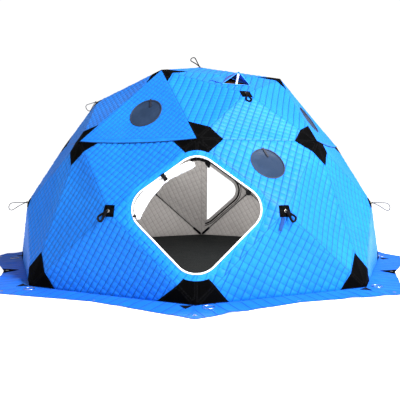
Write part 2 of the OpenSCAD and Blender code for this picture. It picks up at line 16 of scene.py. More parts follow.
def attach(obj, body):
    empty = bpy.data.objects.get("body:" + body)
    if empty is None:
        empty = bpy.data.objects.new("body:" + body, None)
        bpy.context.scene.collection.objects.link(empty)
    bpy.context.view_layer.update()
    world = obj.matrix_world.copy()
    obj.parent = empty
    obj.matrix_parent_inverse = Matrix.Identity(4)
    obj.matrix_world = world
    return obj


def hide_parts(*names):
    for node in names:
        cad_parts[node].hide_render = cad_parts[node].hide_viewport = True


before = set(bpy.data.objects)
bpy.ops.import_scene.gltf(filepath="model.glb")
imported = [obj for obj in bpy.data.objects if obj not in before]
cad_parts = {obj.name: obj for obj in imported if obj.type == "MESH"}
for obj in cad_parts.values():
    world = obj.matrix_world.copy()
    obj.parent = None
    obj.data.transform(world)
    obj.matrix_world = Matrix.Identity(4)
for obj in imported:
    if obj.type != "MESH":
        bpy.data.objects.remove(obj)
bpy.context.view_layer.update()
bpy.context.scene.view_settings.view_transform = "Standard"

# %% [markdown]
# The shell is a set of flat facets between a few points: eight ground corners,
# eight eave corners, four crown corners and one hub a panel. Repeating those few
# driving sizes here lets the cloth be laid exactly where the CAD plates are.

# %% Points on the shell, in metres
WALLS, ROOFS = 8, 4
GROUND_R, EAVE_R, EAVE_Z = 2.050, 1.563, 1.272
CROWN_R, CROWN_Z = 0.940, 1.986
WALL_HUB, ROOF_HUB, CROWN_BULGE = (0.647, 0.204), (0.503, 0.154), 0.197
WALL_TURN, ROOF_TURN = 360 / WALLS, 360 / ROOFS


def spot(radius, turn, z):
    """A point at an angle counted from the front round towards +X."""
    a = math.radians(turn)
    return np.array([radius * math.sin(a), -radius * math.cos(a), z])


def unit(v):
    return v / np.linalg.norm(v)


ground = [spot(GROUND_R, WALL_TURN * k, 0) for k in range(WALLS)]
eave = [spot(EAVE_R, WALL_TURN * k, EAVE_Z) for k in range(WALLS)]
crown = [spot(CROWN_R, ROOF_TURN * k - WALL_TURN / 2, CROWN_Z) for k in range(ROOFS)]


def with_hub(a, b, c, d, up, bulge):
    """Four corners, anticlockwise from outside, and the hub pushed out between them."""
    foot, head = (a + b) / 2, (c + d) / 2
    rise = unit(head - foot)
    return [a, b, c, d, foot + up * rise + bulge * np.cross(unit(b - a), rise)]


WALL_NAMES = ["wall_front_right", "wall_right_front", "wall_right_back", "wall_back_right",
              "wall_back_left", "wall_left_back", "wall_left_front", "wall_front_left"]
ROOF_NAMES = ["roof_front", "roof_right", "roof_back", "roof_left"]
CORNER_NAMES = ["roof_corner_front", "roof_corner_right", "roof_corner_back", "roof_corner_left"]
panels = {}
for k, name in enumerate(WALL_NAMES):
    j = (k + 1) % WALLS
    panels[name] = with_hub(ground[k], ground[j], eave[j], eave[k], *WALL_HUB)
for k, name in enumerate(ROOF_NAMES):
    j = (k + 1) % ROOFS
    panels[name] = with_hub(eave[2 * k], eave[2 * k + 1], crown[j], crown[k], *ROOF_HUB)
crown_side = np.linalg.norm(crown[1] - crown[0])
panels["roof_crown"] = with_hub(*crown, crown_side / 2, CROWN_BULGE)
print("a wall's hub is at", panels[WALL_NAMES[0]][4].round(3))

# %% [markdown]
# A facet knows its own level direction, its upward direction and the way out.
# Where two facets meet, a point on the shared edge has to be moved out along the
# direction that suits both, or the cloth would open up or overlap there. That
# direction is found once for each edge and corner from the facets round it.

# %% A facet and its own plane
class Facet:
    def __init__(self, panel, corners, level):
        self.panel, self.corners = panel, corners
        self.out = unit(np.cross(corners[1] - corners[0], corners[2] - corners[0]))
        self.x = unit(level - (level @ self.out) * self.out)
        self.y = np.cross(self.out, self.x)
        self.flat_corners = self.flat(np.array(corners))
        self.patches, self.door, self.window, self.number = [], None, None, 0

    def flat(self, p):
        """Points in space as points in the facet's own plane."""
        p = np.atleast_2d(p) - self.corners[0]
        return np.stack([p @ self.x, p @ self.y], 1)

    def raised(self, q):
        """Points in the facet's plane as points in space."""
        return self.corners[0] + np.outer(q[:, 0], self.x) + np.outer(q[:, 1], self.y)


facets = []
for name, p in panels.items():
    for i in range(4):
        facets.append(Facet(name, [p[i], p[(i + 1) % 4], p[4]], p[1] - p[0]))
for k, name in enumerate(CORNER_NAMES):
    a, b = eave[2 * k - 1], eave[2 * k]
    facets.append(Facet(name, [a, b, crown[k]], b - a))
print(len(facets), "facets")

# %% [markdown]
# A fold is shared by two facets and a corner by up to seven. Each has one way out
# that moves a point the same distance off every facet round it, found by least
# squares.

# %% The way out at edges and corners
EDGE_NEAR, CORNER_NEAR, HALF_MM = 2e-4, 4e-4, 2000


def point_key(p):
    return tuple(int(round(c * HALF_MM)) for c in p)


def shared_out(ways):
    """The offset that moves a point one unit out from every facet round it."""
    return np.linalg.lstsq(np.array(ways), np.ones(len(ways)), rcond=None)[0]


edge_ways, corner_ways = {}, {}
for f in facets:
    for i in range(3):
        a, b = point_key(f.corners[i]), point_key(f.corners[(i + 1) % 3])
        edge_ways.setdefault(frozenset((a, b)), []).append(f.out)
        corner_ways.setdefault(a, []).append(f.out)
print(len(edge_ways), "edges and", len(corner_ways), "corners")


def outwards(f, q):
    """For each point in facet f, the direction to move it out, right at the edges too."""
    ways = np.tile(f.out, (len(q), 1))
    if f.panel == "level":
        return ways
    for i in range(3):
        a, b = f.flat_corners[i], f.flat_corners[(i + 1) % 3]
        key = frozenset((point_key(f.corners[i]), point_key(f.corners[(i + 1) % 3])))
        along = unit(b - a)
        off = abs((q - a) @ np.array([along[1], -along[0]]))
        ways[off < EDGE_NEAR] = shared_out(edge_ways[key])
    for i in range(3):
        near = np.linalg.norm(q - f.flat_corners[i], axis=1) < CORNER_NEAR
        ways[near] = shared_out(corner_ways[point_key(f.corners[i])])
    return ways


# %% [markdown]
# The doorway is a kite with round corners that straddles a wall seam, and the
# windows are circles. Both are described by a signed distance: negative inside,
# positive outside, in metres. One such number serves to cut the cloth, to calm
# the quilting near the edge and to lay the trim.

# %% The wall beside a seam, and the doorway on it
DOOR_CORNER, DOOR_FOOT, DOOR_REACH = 0.186, 0.240, 0.516
DOOR_SIDE_UP, DOOR_HEAD = 0.764, 1.196
door_centres = [(0, DOOR_FOOT + DOOR_CORNER), (DOOR_REACH - DOOR_CORNER, DOOR_SIDE_UP),
                (0, DOOR_HEAD - DOOR_CORNER)]
RIDGE_BLEND = 0.03


class SeamPlane:
    """The wall beside a seam, unfolded: x to the right seen from outside, y up the seam."""
    def __init__(self, k):
        self.foot, self.y = ground[k], unit(eave[k] - ground[k])
        self.sides = {}
        for sign, wall in ((1, WALL_NAMES[k]), (-1, WALL_NAMES[k - 1])):
            reach = panels[wall][4] - self.foot
            x = sign * unit(reach - (reach @ self.y) * self.y)
            self.sides[sign] = (x, np.cross(x, self.y))
        self.ridge = shared_out([z for _, z in self.sides.values()])

    def at(self, x, y, z=0.0):
        """A point x across and y up, moved z out, with the ridge's own way out at x = 0."""
        across, out = self.sides[1 if x >= 0 else -1]
        return self.foot + x * across + y * self.y + z * (self.ridge if abs(x) < EDGE_NEAR else out)

    def out(self, x):
        blend = min(1.0, abs(x) / RIDGE_BLEND)
        side = self.sides[1 if x >= 0 else -1][1]
        return unit(blend * side + (1 - blend) * self.ridge)


front_seam, back_seam = SeamPlane(0), SeamPlane(4)


def door_distance(x, y, centre_x=0.0):
    """Signed distance to the doorway's edge from points of the unfolded wall."""
    x, near, beyond = abs(x - centre_x), [], []
    for (ax, ay), (bx, by) in zip(door_centres, door_centres[1:]):
        dx, dy = bx - ax, by - ay
        along = np.clip(((x - ax) * dx + (y - ay) * dy) / (dx * dx + dy * dy), 0, 1)
        near.append(np.hypot(x - ax - along * dx, y - ay - along * dy))
        beyond.append(((x - ax) * dy - (y - ay) * dx) / math.hypot(dx, dy))
    out = np.maximum(*beyond)
    return np.where(out > 0, np.minimum(*near), out) - DOOR_CORNER


def door_edge(grow=0.0, pieces=14):
    """Points on the right half of the doorway's outline, from its foot to its head."""
    (_, foot), (side, side_up), (_, head) = door_centres
    low = math.degrees(math.atan2(-side, side_up - foot))
    high = math.degrees(math.atan2(side, head - side_up))
    r, found = DOOR_CORNER + grow, []
    for (cx, cy), (start, end) in zip(door_centres, [(-90, low), (low, high), (high, 90)]):
        for s in range(pieces + 1):
            a = math.radians(start + (end - start) * s / pieces)
            found.append((cx + r * math.cos(a), cy + r * math.sin(a)))
    return np.array(found)


half_door = door_edge()
print("doorway", round(float(np.ptp(half_door[:, 1])), 3), "m high")

# %% [markdown]
# Each doorway is shared by the two facets beside its seam. A window belongs to
# one facet: the upper one of a wall, or a flat roof corner.

# %% Which facets have a doorway or a window
WINDOW_R, WALL_WINDOW_DOWN, ROOF_WINDOW_UP = 0.155, 0.250, 0.324
by_panel = {}
for number, f in enumerate(facets):
    f.number = number
    by_panel.setdefault(f.panel, []).append(f)
for seam, k in ((front_seam, 0), (back_seam, 4)):
    by_panel[WALL_NAMES[k]][3].door = (seam, 1)
    by_panel[WALL_NAMES[k - 1]][1].door = (seam, -1)
glazed = [(by_panel[name][2], -WALL_WINDOW_DOWN) for name in (WALL_NAMES[0], WALL_NAMES[4])]
glazed += [(by_panel[name][0], ROOF_WINDOW_UP) for name in CORNER_NAMES]
for f, up in glazed:
    f.window = f.flat((f.corners[0] + f.corners[1]) / 2)[0] + np.array([0, up])
print(len(glazed), "windows")


def seam_place(f, q):
    """Points of a facet beside a doorway, as (x, y) on the unfolded wall."""
    seam, sign = f.door
    d = f.raised(q) - seam.foot
    return d @ seam.sides[sign][0], d @ seam.y


# %% [markdown]
# Where poles meet, a patch takes the wear. Each facet carries its own share of
# a patch as a triangle: how far it runs along the outer edge at the facet's two
# ends, and how far along the two poles. Neighbouring shares meet at the edges.

# %% Where the patches are
WALL_REACH = {0: (0.272, 0.272, 0.208, 0.208), 1: (0.306, 0.240, 0.208, 0.155),
              2: (0.242, 0.242, 0.155, 0.155), 3: (0.240, 0.306, 0.155, 0.208)}
ROOF_REACH = {0: (0.242, 0.242, 0.190, 0.190), 1: (0.235, 0.200, 0.190, 0.120),
              2: (0.265, 0.265, 0.120, 0.120), 3: (0.200, 0.235, 0.120, 0.190)}
CROWN_REACH = {i: (0.265, 0.265, 0.120, 0.120) for i in range(4)}
HUB_PATCH, LEFT_TIP = 0.070, 0.330
for name in panels:
    reach = WALL_REACH if name in WALL_NAMES else ROOF_REACH if name in ROOF_NAMES else CROWN_REACH
    for i, f in enumerate(by_panel[name]):
        a, b, hub = f.flat_corners
        tip_a, tip_b, pole_a, pole_b = reach[i]
        if (name, i) == (WALL_NAMES[-1], 0):
            tip_b = LEFT_TIP
        low = "ground_patches" if name in WALL_NAMES else "eave_patches"
        high = "crown_patches" if name not in WALL_NAMES else "eave_patches"
        if name == "roof_crown":
            low = "crown_patches"
        kind_a = low if i in (0, 1) else high
        kind_b = low if i in (0, 3) else high
        f.patches += [
            (kind_a, np.array([a, a + tip_a * unit(b - a), a + pole_a * unit(hub - a)])),
            (kind_b, np.array([b, b + pole_b * unit(hub - b), b + tip_b * unit(a - b)])),
            ("hub_patches", np.array([hub, hub + HUB_PATCH * unit(a - hub),
                                      hub + HUB_PATCH * unit(b - hub)]))]
print(sum(len(f.patches) for f in facets), "shares of patches")


def triangle_distance(t, q):
    """Signed distance to a triangle given anticlockwise, good enough near its edges."""
    far = []
    for i in range(3):
        a, b = t[i], t[(i + 1) % 3]
        along = unit(b - a)
        far.append((q - a) @ np.array([along[1], -along[0]]))
    return np.max(far, axis=0)


def ease(x, width):
    """0 below zero, 1 above width, and a smooth step between."""
    s = np.clip(x / width, 0, 1)
    return s * s * (3 - 2 * s)


def grid_over(low, high, step):
    """Even points over the box between two corners."""
    axes = [np.arange(a, b, step) for a, b in zip(low, high)]
    return np.stack(np.meshgrid(*axes), -1).reshape(-1, 2)


def uneven(q, scale, layer):
    """Soft noise from -1 to 1 at each point of a sheet."""
    return np.array([noise.noise(Vector((x * scale, y * scale, layer))) for x, y in q])


# %% [markdown]
# Quilted cloth is two layers sewn together through a filling, so it swells
# between the seams and pinches on them. That swelling could be left to bump, but
# then it would vanish in the outline and in the mesh. Here the points
# of the mesh lie on the quilting's own lattice, so each seam is a real valley:
# one family of seams climbs to the right at 60 degrees and the other crosses it.

# %% The quilting's pattern and swell
SEAM_RISE = {"wall": (60, 150), "roof": (60, 163), "corner": (58, 148), "crown": (60, 150)}
SEAM_STEP = {"wall": (0.063, 0.066), "roof": (0.063, 0.042),
             "corner": (0.042, 0.042), "crown": (0.063, 0.060)}
SWELL = {"wall": 0.0065, "roof": 0.0055, "corner": 0.003, "crown": 0.006}
CLOTH_BASE, CLOTH_PINCH, CLOTH_SAG = 0.0052, 0.0034, 0.012
FINER, SEAM_SHIFT = 0.84, 0.37


def kind_of(f):
    if f.panel == "level":
        return "wall"
    if f.panel == "roof_crown":
        return "crown"
    return "corner" if "corner" in f.panel else f.panel.split("_")[0]


def seam_step(f):
    """The left walls are sewn more closely than the others."""
    main, cross = SEAM_STEP[kind_of(f)]
    return (main * FINER, cross * FINER) if f.panel in WALL_NAMES[5:] else (main, cross)


def quilt_place(f, q):
    """How many main seams and cross seams along each point lies."""
    rise, step = SEAM_RISE[kind_of(f)], seam_step(f)
    shift = SEAM_SHIFT * f.number
    found = []
    for angle, gap in zip(rise, step):
        a = math.radians(angle)
        found.append(q @ np.array([math.sin(a), -math.cos(a)]) / gap + shift)
    return np.stack(found, 1)


def quilt_lattice(f, parts):
    """Points of the plane that lie on the seams and at even steps between them."""
    rise, step = SEAM_RISE[kind_of(f)], seam_step(f)
    rows = np.array([[math.sin(math.radians(a)), -math.cos(math.radians(a))] for a in rise])
    rows /= np.array(step)[:, None]
    shift = SEAM_SHIFT * f.number
    low, high = f.flat_corners.min(0), f.flat_corners.max(0)
    box = np.array([[x, y] for x in (low[0], high[0]) for y in (low[1], high[1])])
    spans = box @ rows.T + shift
    axes = [np.arange(math.floor(span.min()) * n, math.ceil(span.max()) * n + 1) / n
            for span, n in zip(spans.T, parts)]
    uv = np.stack(np.meshgrid(*axes), -1).reshape(-1, 2)
    return (uv - shift) @ np.linalg.inv(rows).T


sample = by_panel[WALL_NAMES[0]][0]
print("lattice points in the first facet:", len(quilt_lattice(sample, (5, 5))))

# %% [markdown]
# Quilting can't swell where something else is sewn on. One number says how calm
# the cloth must be at a point: it falls to 0 at poles, patches and openings.

# %% Where the quilting dies away
def edge_distance(f, q):
    return -triangle_distance(f.flat_corners, q)


POLE_CALM, PATCH_CALM, DOOR_CALM = 0.022, 0.018, 0.02
PATCH_CLEAR, DOOR_CLEAR, WINDOW_CLEAR = 0.002, 0.024, 0.008


def calm(f, q):
    """1 in open cloth, falling to 0 at patches, openings, poles and seams."""
    free = ease(edge_distance(f, q), POLE_CALM)
    for _, t in f.patches:
        free = np.minimum(free, ease(triangle_distance(t, q) - PATCH_CLEAR, PATCH_CALM))
    if f.door:
        away = door_distance(*seam_place(f, q))
        free = np.minimum(free, ease(away - DOOR_CLEAR, DOOR_CALM))
    if f.window is not None:
        away = np.linalg.norm(q - f.window, axis=1) - WINDOW_R
        free = np.minimum(free, ease(away - WINDOW_CLEAR, DOOR_CALM))
    return free


print("calm in the first facet's middle:", calm(sample, sample.flat_corners.mean(0)[None]).round(2))

# %% [markdown]
# Between its poles the cloth hangs back a little from the flat facet, with soft
# creases, and the filling swells over that. The outer face shows all of the
# swell and the lining a bit more than half of it, the other way.

# %% The cloth's outer and inner face
def sag(f, q):
    """How far the cloth lies back from the flat facet, most in its middle, with soft creases."""
    a, b, c = f.flat_corners
    full = (b[0] - a[0]) * (c[1] - a[1]) - (c[0] - a[0]) * (b[1] - a[1])
    s = ((b[0] - q[:, 0]) * (c[1] - q[:, 1]) - (c[0] - q[:, 0]) * (b[1] - q[:, 1])) / full
    t = ((c[0] - q[:, 0]) * (a[1] - q[:, 1]) - (a[0] - q[:, 0]) * (c[1] - q[:, 1])) / full
    bowl = 27 * np.clip(s, 0, 1) * np.clip(t, 0, 1) * np.clip(1 - s - t, 0, 1)
    crease = uneven(q, 2.3, 7.1)
    pull = np.array([noise.noise(Vector((x * 9 + y * 4, y * 2.2 - x, 3.3))) for x, y in q])
    return -CLOTH_SAG * bowl + (0.006 * crease + 0.0022 * pull) * ease(edge_distance(f, q), 0.12)


def swell(f, q):
    uv = quilt_place(f, q)
    domes = np.abs(np.sin(np.pi * uv)) ** 0.62
    depth = SWELL[kind_of(f)]
    wobble = uneven(q, 21, 1.7)
    return depth * domes[:, 0] * (0.35 + 0.65 * domes[:, 1]) * (1 + 0.35 * wobble)


def outer_skin(f, q):
    d = edge_distance(f, q)
    base = CLOTH_PINCH + (CLOTH_BASE - CLOTH_PINCH) * ease(d, 0.012)
    return base + sag(f, q) + calm(f, q) * swell(f, q)


def inner_skin(f, q):
    return 0.0004 + sag(f, q) - 0.6 * calm(f, q) * swell(f, q)


middle = sample.flat_corners.mean(0)[None]
print("cloth thickness there:", (outer_skin(sample, middle) - inner_skin(sample, middle)).round(4))

# %% [markdown]
# Materials are written as sums. A small class wraps a socket, so that
# `1 - mask` or `base * 0.8` adds the Math node it needs, and one method makes any
# other node. Colours go through Mix nodes, since a Math node would turn them grey.

# %% A socket that can be used in sums
class Sock:
    def __init__(self, finish, socket):
        self.finish, self.socket = finish, socket

    def __add__(self, other): return self.finish.maths("ADD", self, other)
    def __radd__(self, other): return self.finish.maths("ADD", other, self)
    def __sub__(self, other): return self.finish.maths("SUBTRACT", self, other)
    def __rsub__(self, other): return self.finish.maths("SUBTRACT", other, self)
    def __mul__(self, other): return self.finish.maths("MULTIPLY", self, other)
    def __rmul__(self, other): return self.finish.maths("MULTIPLY", other, self)
    def __truediv__(self, other): return self.finish.maths("DIVIDE", self, other)
print("a socket takes + - * / and can be on either side of + - *")

# %% [markdown]
# A finish is one material. It sets the shader's fixed values when it is made,
# has a method for each kind of node that is used often, and links the varying
# ones at the end.

# %% A finish made of nodes
class Finish:
    def __init__(self, name, **constants):
        self.material = bpy.data.materials.new(name)
        self.material.use_nodes = True
        self.tree = self.material.node_tree
        self.shader = self.tree.nodes["Principled BSDF"]
        for socket, value in constants.items():
            self.shader.inputs[socket.replace("_", " ")].default_value = value

    def node(self, kind, settings=None, values=None, out=0):
        made = self.tree.nodes.new(kind)
        for name, value in (settings or {}).items():
            if name == "stops":
                ramp = made.color_ramp.elements
                while len(ramp) < len(value):
                    ramp.new(0.5)
                for stop, (place, colour) in zip(ramp, value):
                    stop.position, stop.color = place, (*colour, 1)
            else:
                setattr(made, name, value)
        for name, value in (values or {}).items():
            if isinstance(value, Sock):
                self.tree.links.new(value.socket, made.inputs[name])
            else:
                made.inputs[name].default_value = value
        return Sock(self, made.outputs[out])

    def maths(self, operation, *values):
        return self.node("ShaderNodeMath", {"operation": operation}, dict(enumerate(values)))

    def between(self, value, low, high):
        """0 at low, 1 at high, with a smooth step."""
        return self.node("ShaderNodeMapRange", {"interpolation_type": "SMOOTHSTEP"},
                         {"Value": value, "From Min": low, "From Max": high})

    def mix(self, a, b, share):
        colour = [c if isinstance(c, Sock) else (*c, 1) for c in (a, b)]
        return self.node("ShaderNodeMix", {"data_type": "RGBA"},
                         {0: share, 6: colour[0], 7: colour[1]}, out=2)

    def noise(self, scale, detail=3, rough=0.55):
        where = self.node("ShaderNodeTexCoord", out=3)
        return self.node("ShaderNodeTexNoise", {}, {"Vector": where, "Scale": scale,
                                                    "Detail": detail, "Roughness": rough})

    def parts(self, vector):
        made = self.tree.nodes.new("ShaderNodeSeparateXYZ")
        self.tree.links.new(vector.socket, made.inputs[0])
        return [Sock(self, s) for s in made.outputs]

    def attribute(self, name):
        return self.node("ShaderNodeAttribute", {"attribute_name": name}, out=1)

    def bump(self, height, distance, strength=1.0, under=None):
        values = {"Height": height, "Distance": distance, "Strength": strength}
        if under:
            values["Normal"] = under
        return self.node("ShaderNodeBump", {}, values)

    def to(self, **sockets):
        for name, value in sockets.items():
            self.tree.links.new(value.socket, self.shader.inputs[name.replace("_", " ")])
        return self


print("a finish has", len([n for n in vars(Finish) if n[0] != "_"]), "methods")

# %% [markdown]
# The shell's outside is a coated polyester: a saturated blue, half glossy, with
# a fine weave, needle-pricked seams and a little uneven dye. The seams are drawn
# as broad darker lines, partly for the thread and partly as painted shade in the
# valleys between the swells. The lining is a warm grey taffeta with the same
# seams. Both read where the seams are from numbers that the mesh carries in an
# attribute.

# %% The quilted cloth's two faces
def line_at(finish, value, half_width):
    """1 on whole numbers of the value, falling to 0 at half_width of it away."""
    off = finish.maths("ABSOLUTE", finish.maths("FRACT", value + 0.5) - 0.5)
    return 1 - finish.between(off, half_width * 0.35, half_width)


def quilted(name, deep, plain, light, main, cross, rough, wide=(0.100, 0.080)):
    f = Finish(name, Sheen_Weight=0.03, Sheen_Roughness=0.45, Specular_IOR_Level=0.14)
    u, v, border = f.parts(f.attribute("quilt"))
    seam_and_shade_main, seam_and_shade_cross = line_at(f, u, wide[0]), line_at(f, v, wide[1])
    stitch = f.between(f.maths("SINE", v * 34), -0.35, 0.25)
    stitch_cross = f.between(f.maths("SINE", u * 34), -0.35, 0.25)
    dye, grime = f.noise(1.7, 4), f.noise(14, 4)
    weave = f.noise(1400, 1)
    cloth = f.mix(plain, light, f.between(dye, 0.42, 0.70) * 0.55)
    cloth = f.mix(cloth, deep, f.between(grime, 0.52, 0.80) * 0.16)
    # Seam lines darken the cloth for the thread and also paint the shade in the valleys between the swells.
    cloth = f.mix(cloth, deep, seam_and_shade_main * (main * 0.6 + stitch * main * 0.4))
    cloth = f.mix(cloth, deep, seam_and_shade_cross * (cross * 0.6 + stitch_cross * cross * 0.4))
    binding = 1 - f.between(border, 0.0005, 0.006)
    cloth = f.mix(cloth, deep, binding * 0.55)
    fold = f.between(border, 0.012, 0.016) * (1 - f.between(border, 0.017, 0.021))
    cloth = f.mix(cloth, deep, fold * 0.12)
    pinch = f.bump(1 - seam_and_shade_main * 0.8 - seam_and_shade_cross * 0.5 * stitch_cross, 0.0022)
    crinkle = f.bump(f.noise(75, 5, rough=0.6), 0.0016, 0.55, pinch)
    thread = f.bump(weave, 0.00025, 0.5, crinkle)
    return f.to(Base_Color=cloth, Roughness=rough + f.noise(28, 3) * 0.16, Normal=thread)


shell_blue = quilted("quilted_blue_polyester", (0.0012, 0.045, 0.24), (0.005, 0.160, 0.66),
                     (0.009, 0.21, 0.74), 0.90, 0.45, 0.42)
lining_grey = quilted("warm_grey_lining", (0.17, 0.158, 0.15), (0.38, 0.362, 0.35),
                      (0.45, 0.43, 0.418), 0.45, 0.35, 0.62)
print("cloth finishes:", shell_blue.material.name, "and", lining_grey.material.name)

# %% [markdown]
# Every piece ends in the same few steps: a mesh, its finishes, smooth shading
# with sharp rims, a parent on the one body, and the CAD node it stands for
# hidden.

# %% A mesh object on the one body
triangles = {}


def solid(name, points, polygons, finishes, slot, stands_for=None, face_finish=None, smooth_angle=50):
    """A mesh object on the one body, smooth but for its sharp rims."""
    mesh = bpy.data.meshes.new(name)
    mesh.from_pydata([tuple(p) for p in points], [], polygons)
    for finish in finishes:
        mesh.materials.append(finish.material)
    if face_finish is not None:
        mesh.polygons.foreach_set("material_index", face_finish)
    mesh.shade_smooth()
    mesh.set_sharp_from_angle(angle=math.radians(smooth_angle))
    made = bpy.data.objects.new(name, mesh)
    bpy.context.scene.collection.objects.link(made)
    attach(made, "root")
    if stands_for:
        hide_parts(stands_for)
    triangles[name] = sum(len(p) - 2 for p in polygons)
    return made


print("pieces so far:", len(triangles))

# %% [markdown]
# One helper sews every flat-cut piece of cloth that lies on the shell. It takes
# the facets, an outline and a test for what is inside, fills each outline with
# triangles by a constrained Delaunay triangulation, raises an outer and an inner
# skin by two height functions, and closes the rim between them. Points on a
# shared edge are welded, so a piece may run over a fold without a gap.

# %% Welding points, and spacing them along a line
WELD_CELL, WELD_REACH = 0.002, 4e-4
NEIGHBOURS = [(x, y, z) for x in (-1, 0, 1) for y in (-1, 0, 1) for z in (-1, 0, 1)]


class Weld:
    """Gives points that are the same place one number."""
    def __init__(self):
        self.cells, self.points = {}, []

    def number(self, p):
        cell = tuple(int(c // WELD_CELL) for c in p)
        for step in NEIGHBOURS:
            for n in self.cells.get(tuple(c + s for c, s in zip(cell, step)), ()):
                if np.abs(self.points[n] - p).max() < WELD_REACH:
                    return n
        self.points.append(p)
        self.cells.setdefault(cell, []).append(len(self.points) - 1)
        return len(self.points) - 1


def spaced(a, b, step):
    """Even points from a up to, but not including, b."""
    count = max(1, round(float(np.linalg.norm(b - a)) / step))
    return [a + (b - a) * i / count for i in range(count)]


def closed_line(points, step):
    found = []
    for i in range(len(points)):
        found += spaced(np.array(points[i]), np.array(points[(i + 1) % len(points)]), step)
    return found + [found[0]]


print("a metre in steps of 0.3:", len(spaced(np.zeros(2), np.array([1.0, 0]), 0.3)))

# %% [markdown]
# The filler keeps the outlines as they are, drops lattice points that crowd
# them, and turns every triangle to face the same way.

# %% Filling outlines with triangles
def fill(outlines, lattice, inside, clear):
    """Triangles over the lattice and outlines, kept where inside(centre) is true."""
    edges, points = [], []
    for line in outlines:
        start = len(points)
        points += list(line)
        edges += [(start + i, start + i + 1) for i in range(len(line) - 1)]
    rim = np.array(points)
    keep = inside(lattice) if len(lattice) else np.zeros(0, bool)
    lattice = lattice[keep]
    if len(lattice):
        near = np.full(len(lattice), np.inf)
        for at in range(0, len(rim), 64):
            gap = lattice[:, None] - rim[None, at:at + 64]
            near = np.minimum(near, np.einsum("ijk,ijk->ij", gap, gap).min(1))
        lattice = lattice[near > clear * clear]
    every = [Vector(p) for p in np.vstack([rim, lattice])]
    verts, _, faces, *_ = geometry.delaunay_2d_cdt(every, edges, [], 0, 1e-6)
    verts = np.array([v[:] for v in verts])
    faces = np.array([t for t in faces if len(t) == 3])
    a, b, c = (verts[faces[:, i]] for i in range(3))
    (abx, aby), (acx, acy) = (b - a).T, (c - a).T
    area = abx * acy - acx * aby
    faces[area < 0] = faces[area < 0][:, ::-1]
    keep = inside((a + b + c) / 3) & (abs(area) > 1e-9)
    faces = faces[keep]
    used = np.unique(faces)
    new = np.zeros(len(verts), int)
    new[used] = np.arange(len(used))
    return verts[used], new[faces]


square = np.array([[0, 0], [1, 0], [1, 1], [0, 1], [0, 0.0]])
print("a square fills with", len(fill([square], square[:0], lambda q: q[:, 0] > 0, 0.1)[1]), "triangles")

# %% [markdown]
# A sheet gathers its filled outlines one facet after another. Points on a fold
# get one number, and all others are new. At the end the outer skin, the inner
# skin and a strip round every open edge become one closed mesh.

# %% A sheet of cloth sewn from facets
class Cloth:
    """Gathers filled outlines of several facets and turns them into one closed sheet."""
    def __init__(self):
        self.weld, self.outer, self.inner = Weld(), {}, {}
        self.faces, self.marks = [], []

    def add(self, f, outlines, lattice, inside, top, bottom, step, mark=None):
        q, faces = fill(outlines, lattice, inside, step * 0.55)
        if not len(faces):
            return
        place, ways = f.raised(q), outwards(f, q)
        outer = place + ways * top(f, q)[:, None]
        inner = place + ways * bottom(f, q)[:, None]
        on_rim = edge_distance(f, q) < 3e-4
        numbers = np.empty(len(q), int)
        for i in range(len(q)):
            if on_rim[i]:
                numbers[i] = self.weld.number(place[i])
            else:
                self.weld.points.append(place[i])
                numbers[i] = len(self.weld.points) - 1
            n = numbers[i]
            self.outer.setdefault(n, outer[i])
            self.inner.setdefault(n, inner[i])
        marks = mark(f, q) if mark else np.column_stack([quilt_place(f, q), edge_distance(f, q)])
        self.faces.append(numbers[faces])
        self.marks.append(marks[faces])

    def build(self, name, finishes, slot, stands_for=None, lowest=None):
        """One closed mesh: the outer skin, the inner skin and the rim between them."""
        count = len(self.weld.points)
        outer = np.array([self.outer[i] for i in range(count)])
        inner = np.array([self.inner[i] for i in range(count)])
        if lowest is not None:
            for skin in (outer, inner):
                skin[:, 2] = np.maximum(skin[:, 2], lowest)
        faces, marks = np.vstack(self.faces), np.vstack(self.marks)
        good = (faces != np.roll(faces, 1, axis=1)).all(1)
        faces, marks = faces[good], marks[good]
        half = np.vstack([faces[:, [0, 1]], faces[:, [1, 2]], faces[:, [2, 0]]])
        rim = half[~np.isin(half @ (count, 1), half @ (1, count))]
        side = np.column_stack([rim[:, 1], rim[:, 0], rim[:, 0] + count, rim[:, 1] + count])
        polygons = faces.tolist() + (faces[:, ::-1] + count).tolist() + side.tolist()
        every = np.vstack([marks.reshape(-1, 3), marks[:, ::-1].reshape(-1, 3),
                           np.zeros((len(side) * 4, 3))])
        under = [0] * len(faces) + [1] * (len(faces) + len(side))
        made = solid(name, np.vstack([outer, inner]), polygons, finishes, slot, stands_for, under)
        data = made.data.attributes.new("quilt", "FLOAT_VECTOR", "CORNER")
        data.data.foreach_set("vector", every.astype(np.float32).ravel())
        a, b, c = (outer[faces[:, i]] for i in range(3))
        made["cut_area"] = float(np.linalg.norm(np.cross(b - a, c - a), axis=1).sum() / 2)
        return made


print("a new sheet has", len(Cloth().faces), "pieces")

# %% [markdown]
# Each panel is one closed sheet of about 5 to 17 mm with the lining as its inner
# face. The outlines of a doorway or a window are cut in as constraint lines, so
# their rims come out clean, whatever way the lattice runs.

# %% Outlines that the cloth is cut to
QUILT_STEP, WINDOW_SIDES = 0.0135, 72


def facet_outline(f):
    return closed_line(list(f.flat_corners), QUILT_STEP)


def circle_line(centre, radius, count):
    turns = np.linspace(0, 2 * math.pi, count + 1)
    return centre + radius * np.stack([np.cos(turns), np.sin(turns)], 1)


def door_line(f, grow):
    seam, sign = f.door
    return np.vstack([f.flat(seam.at(sign * max(x, 1e-9), y)) for x, y in door_edge(grow)])


print("a facet's outline has", len(facet_outline(facets[0])), "points")

# %% [markdown]
# A panel's cut size is worked out flat, from its four facets, less the doorway
# or window. The cloth is held stretched over its poles.

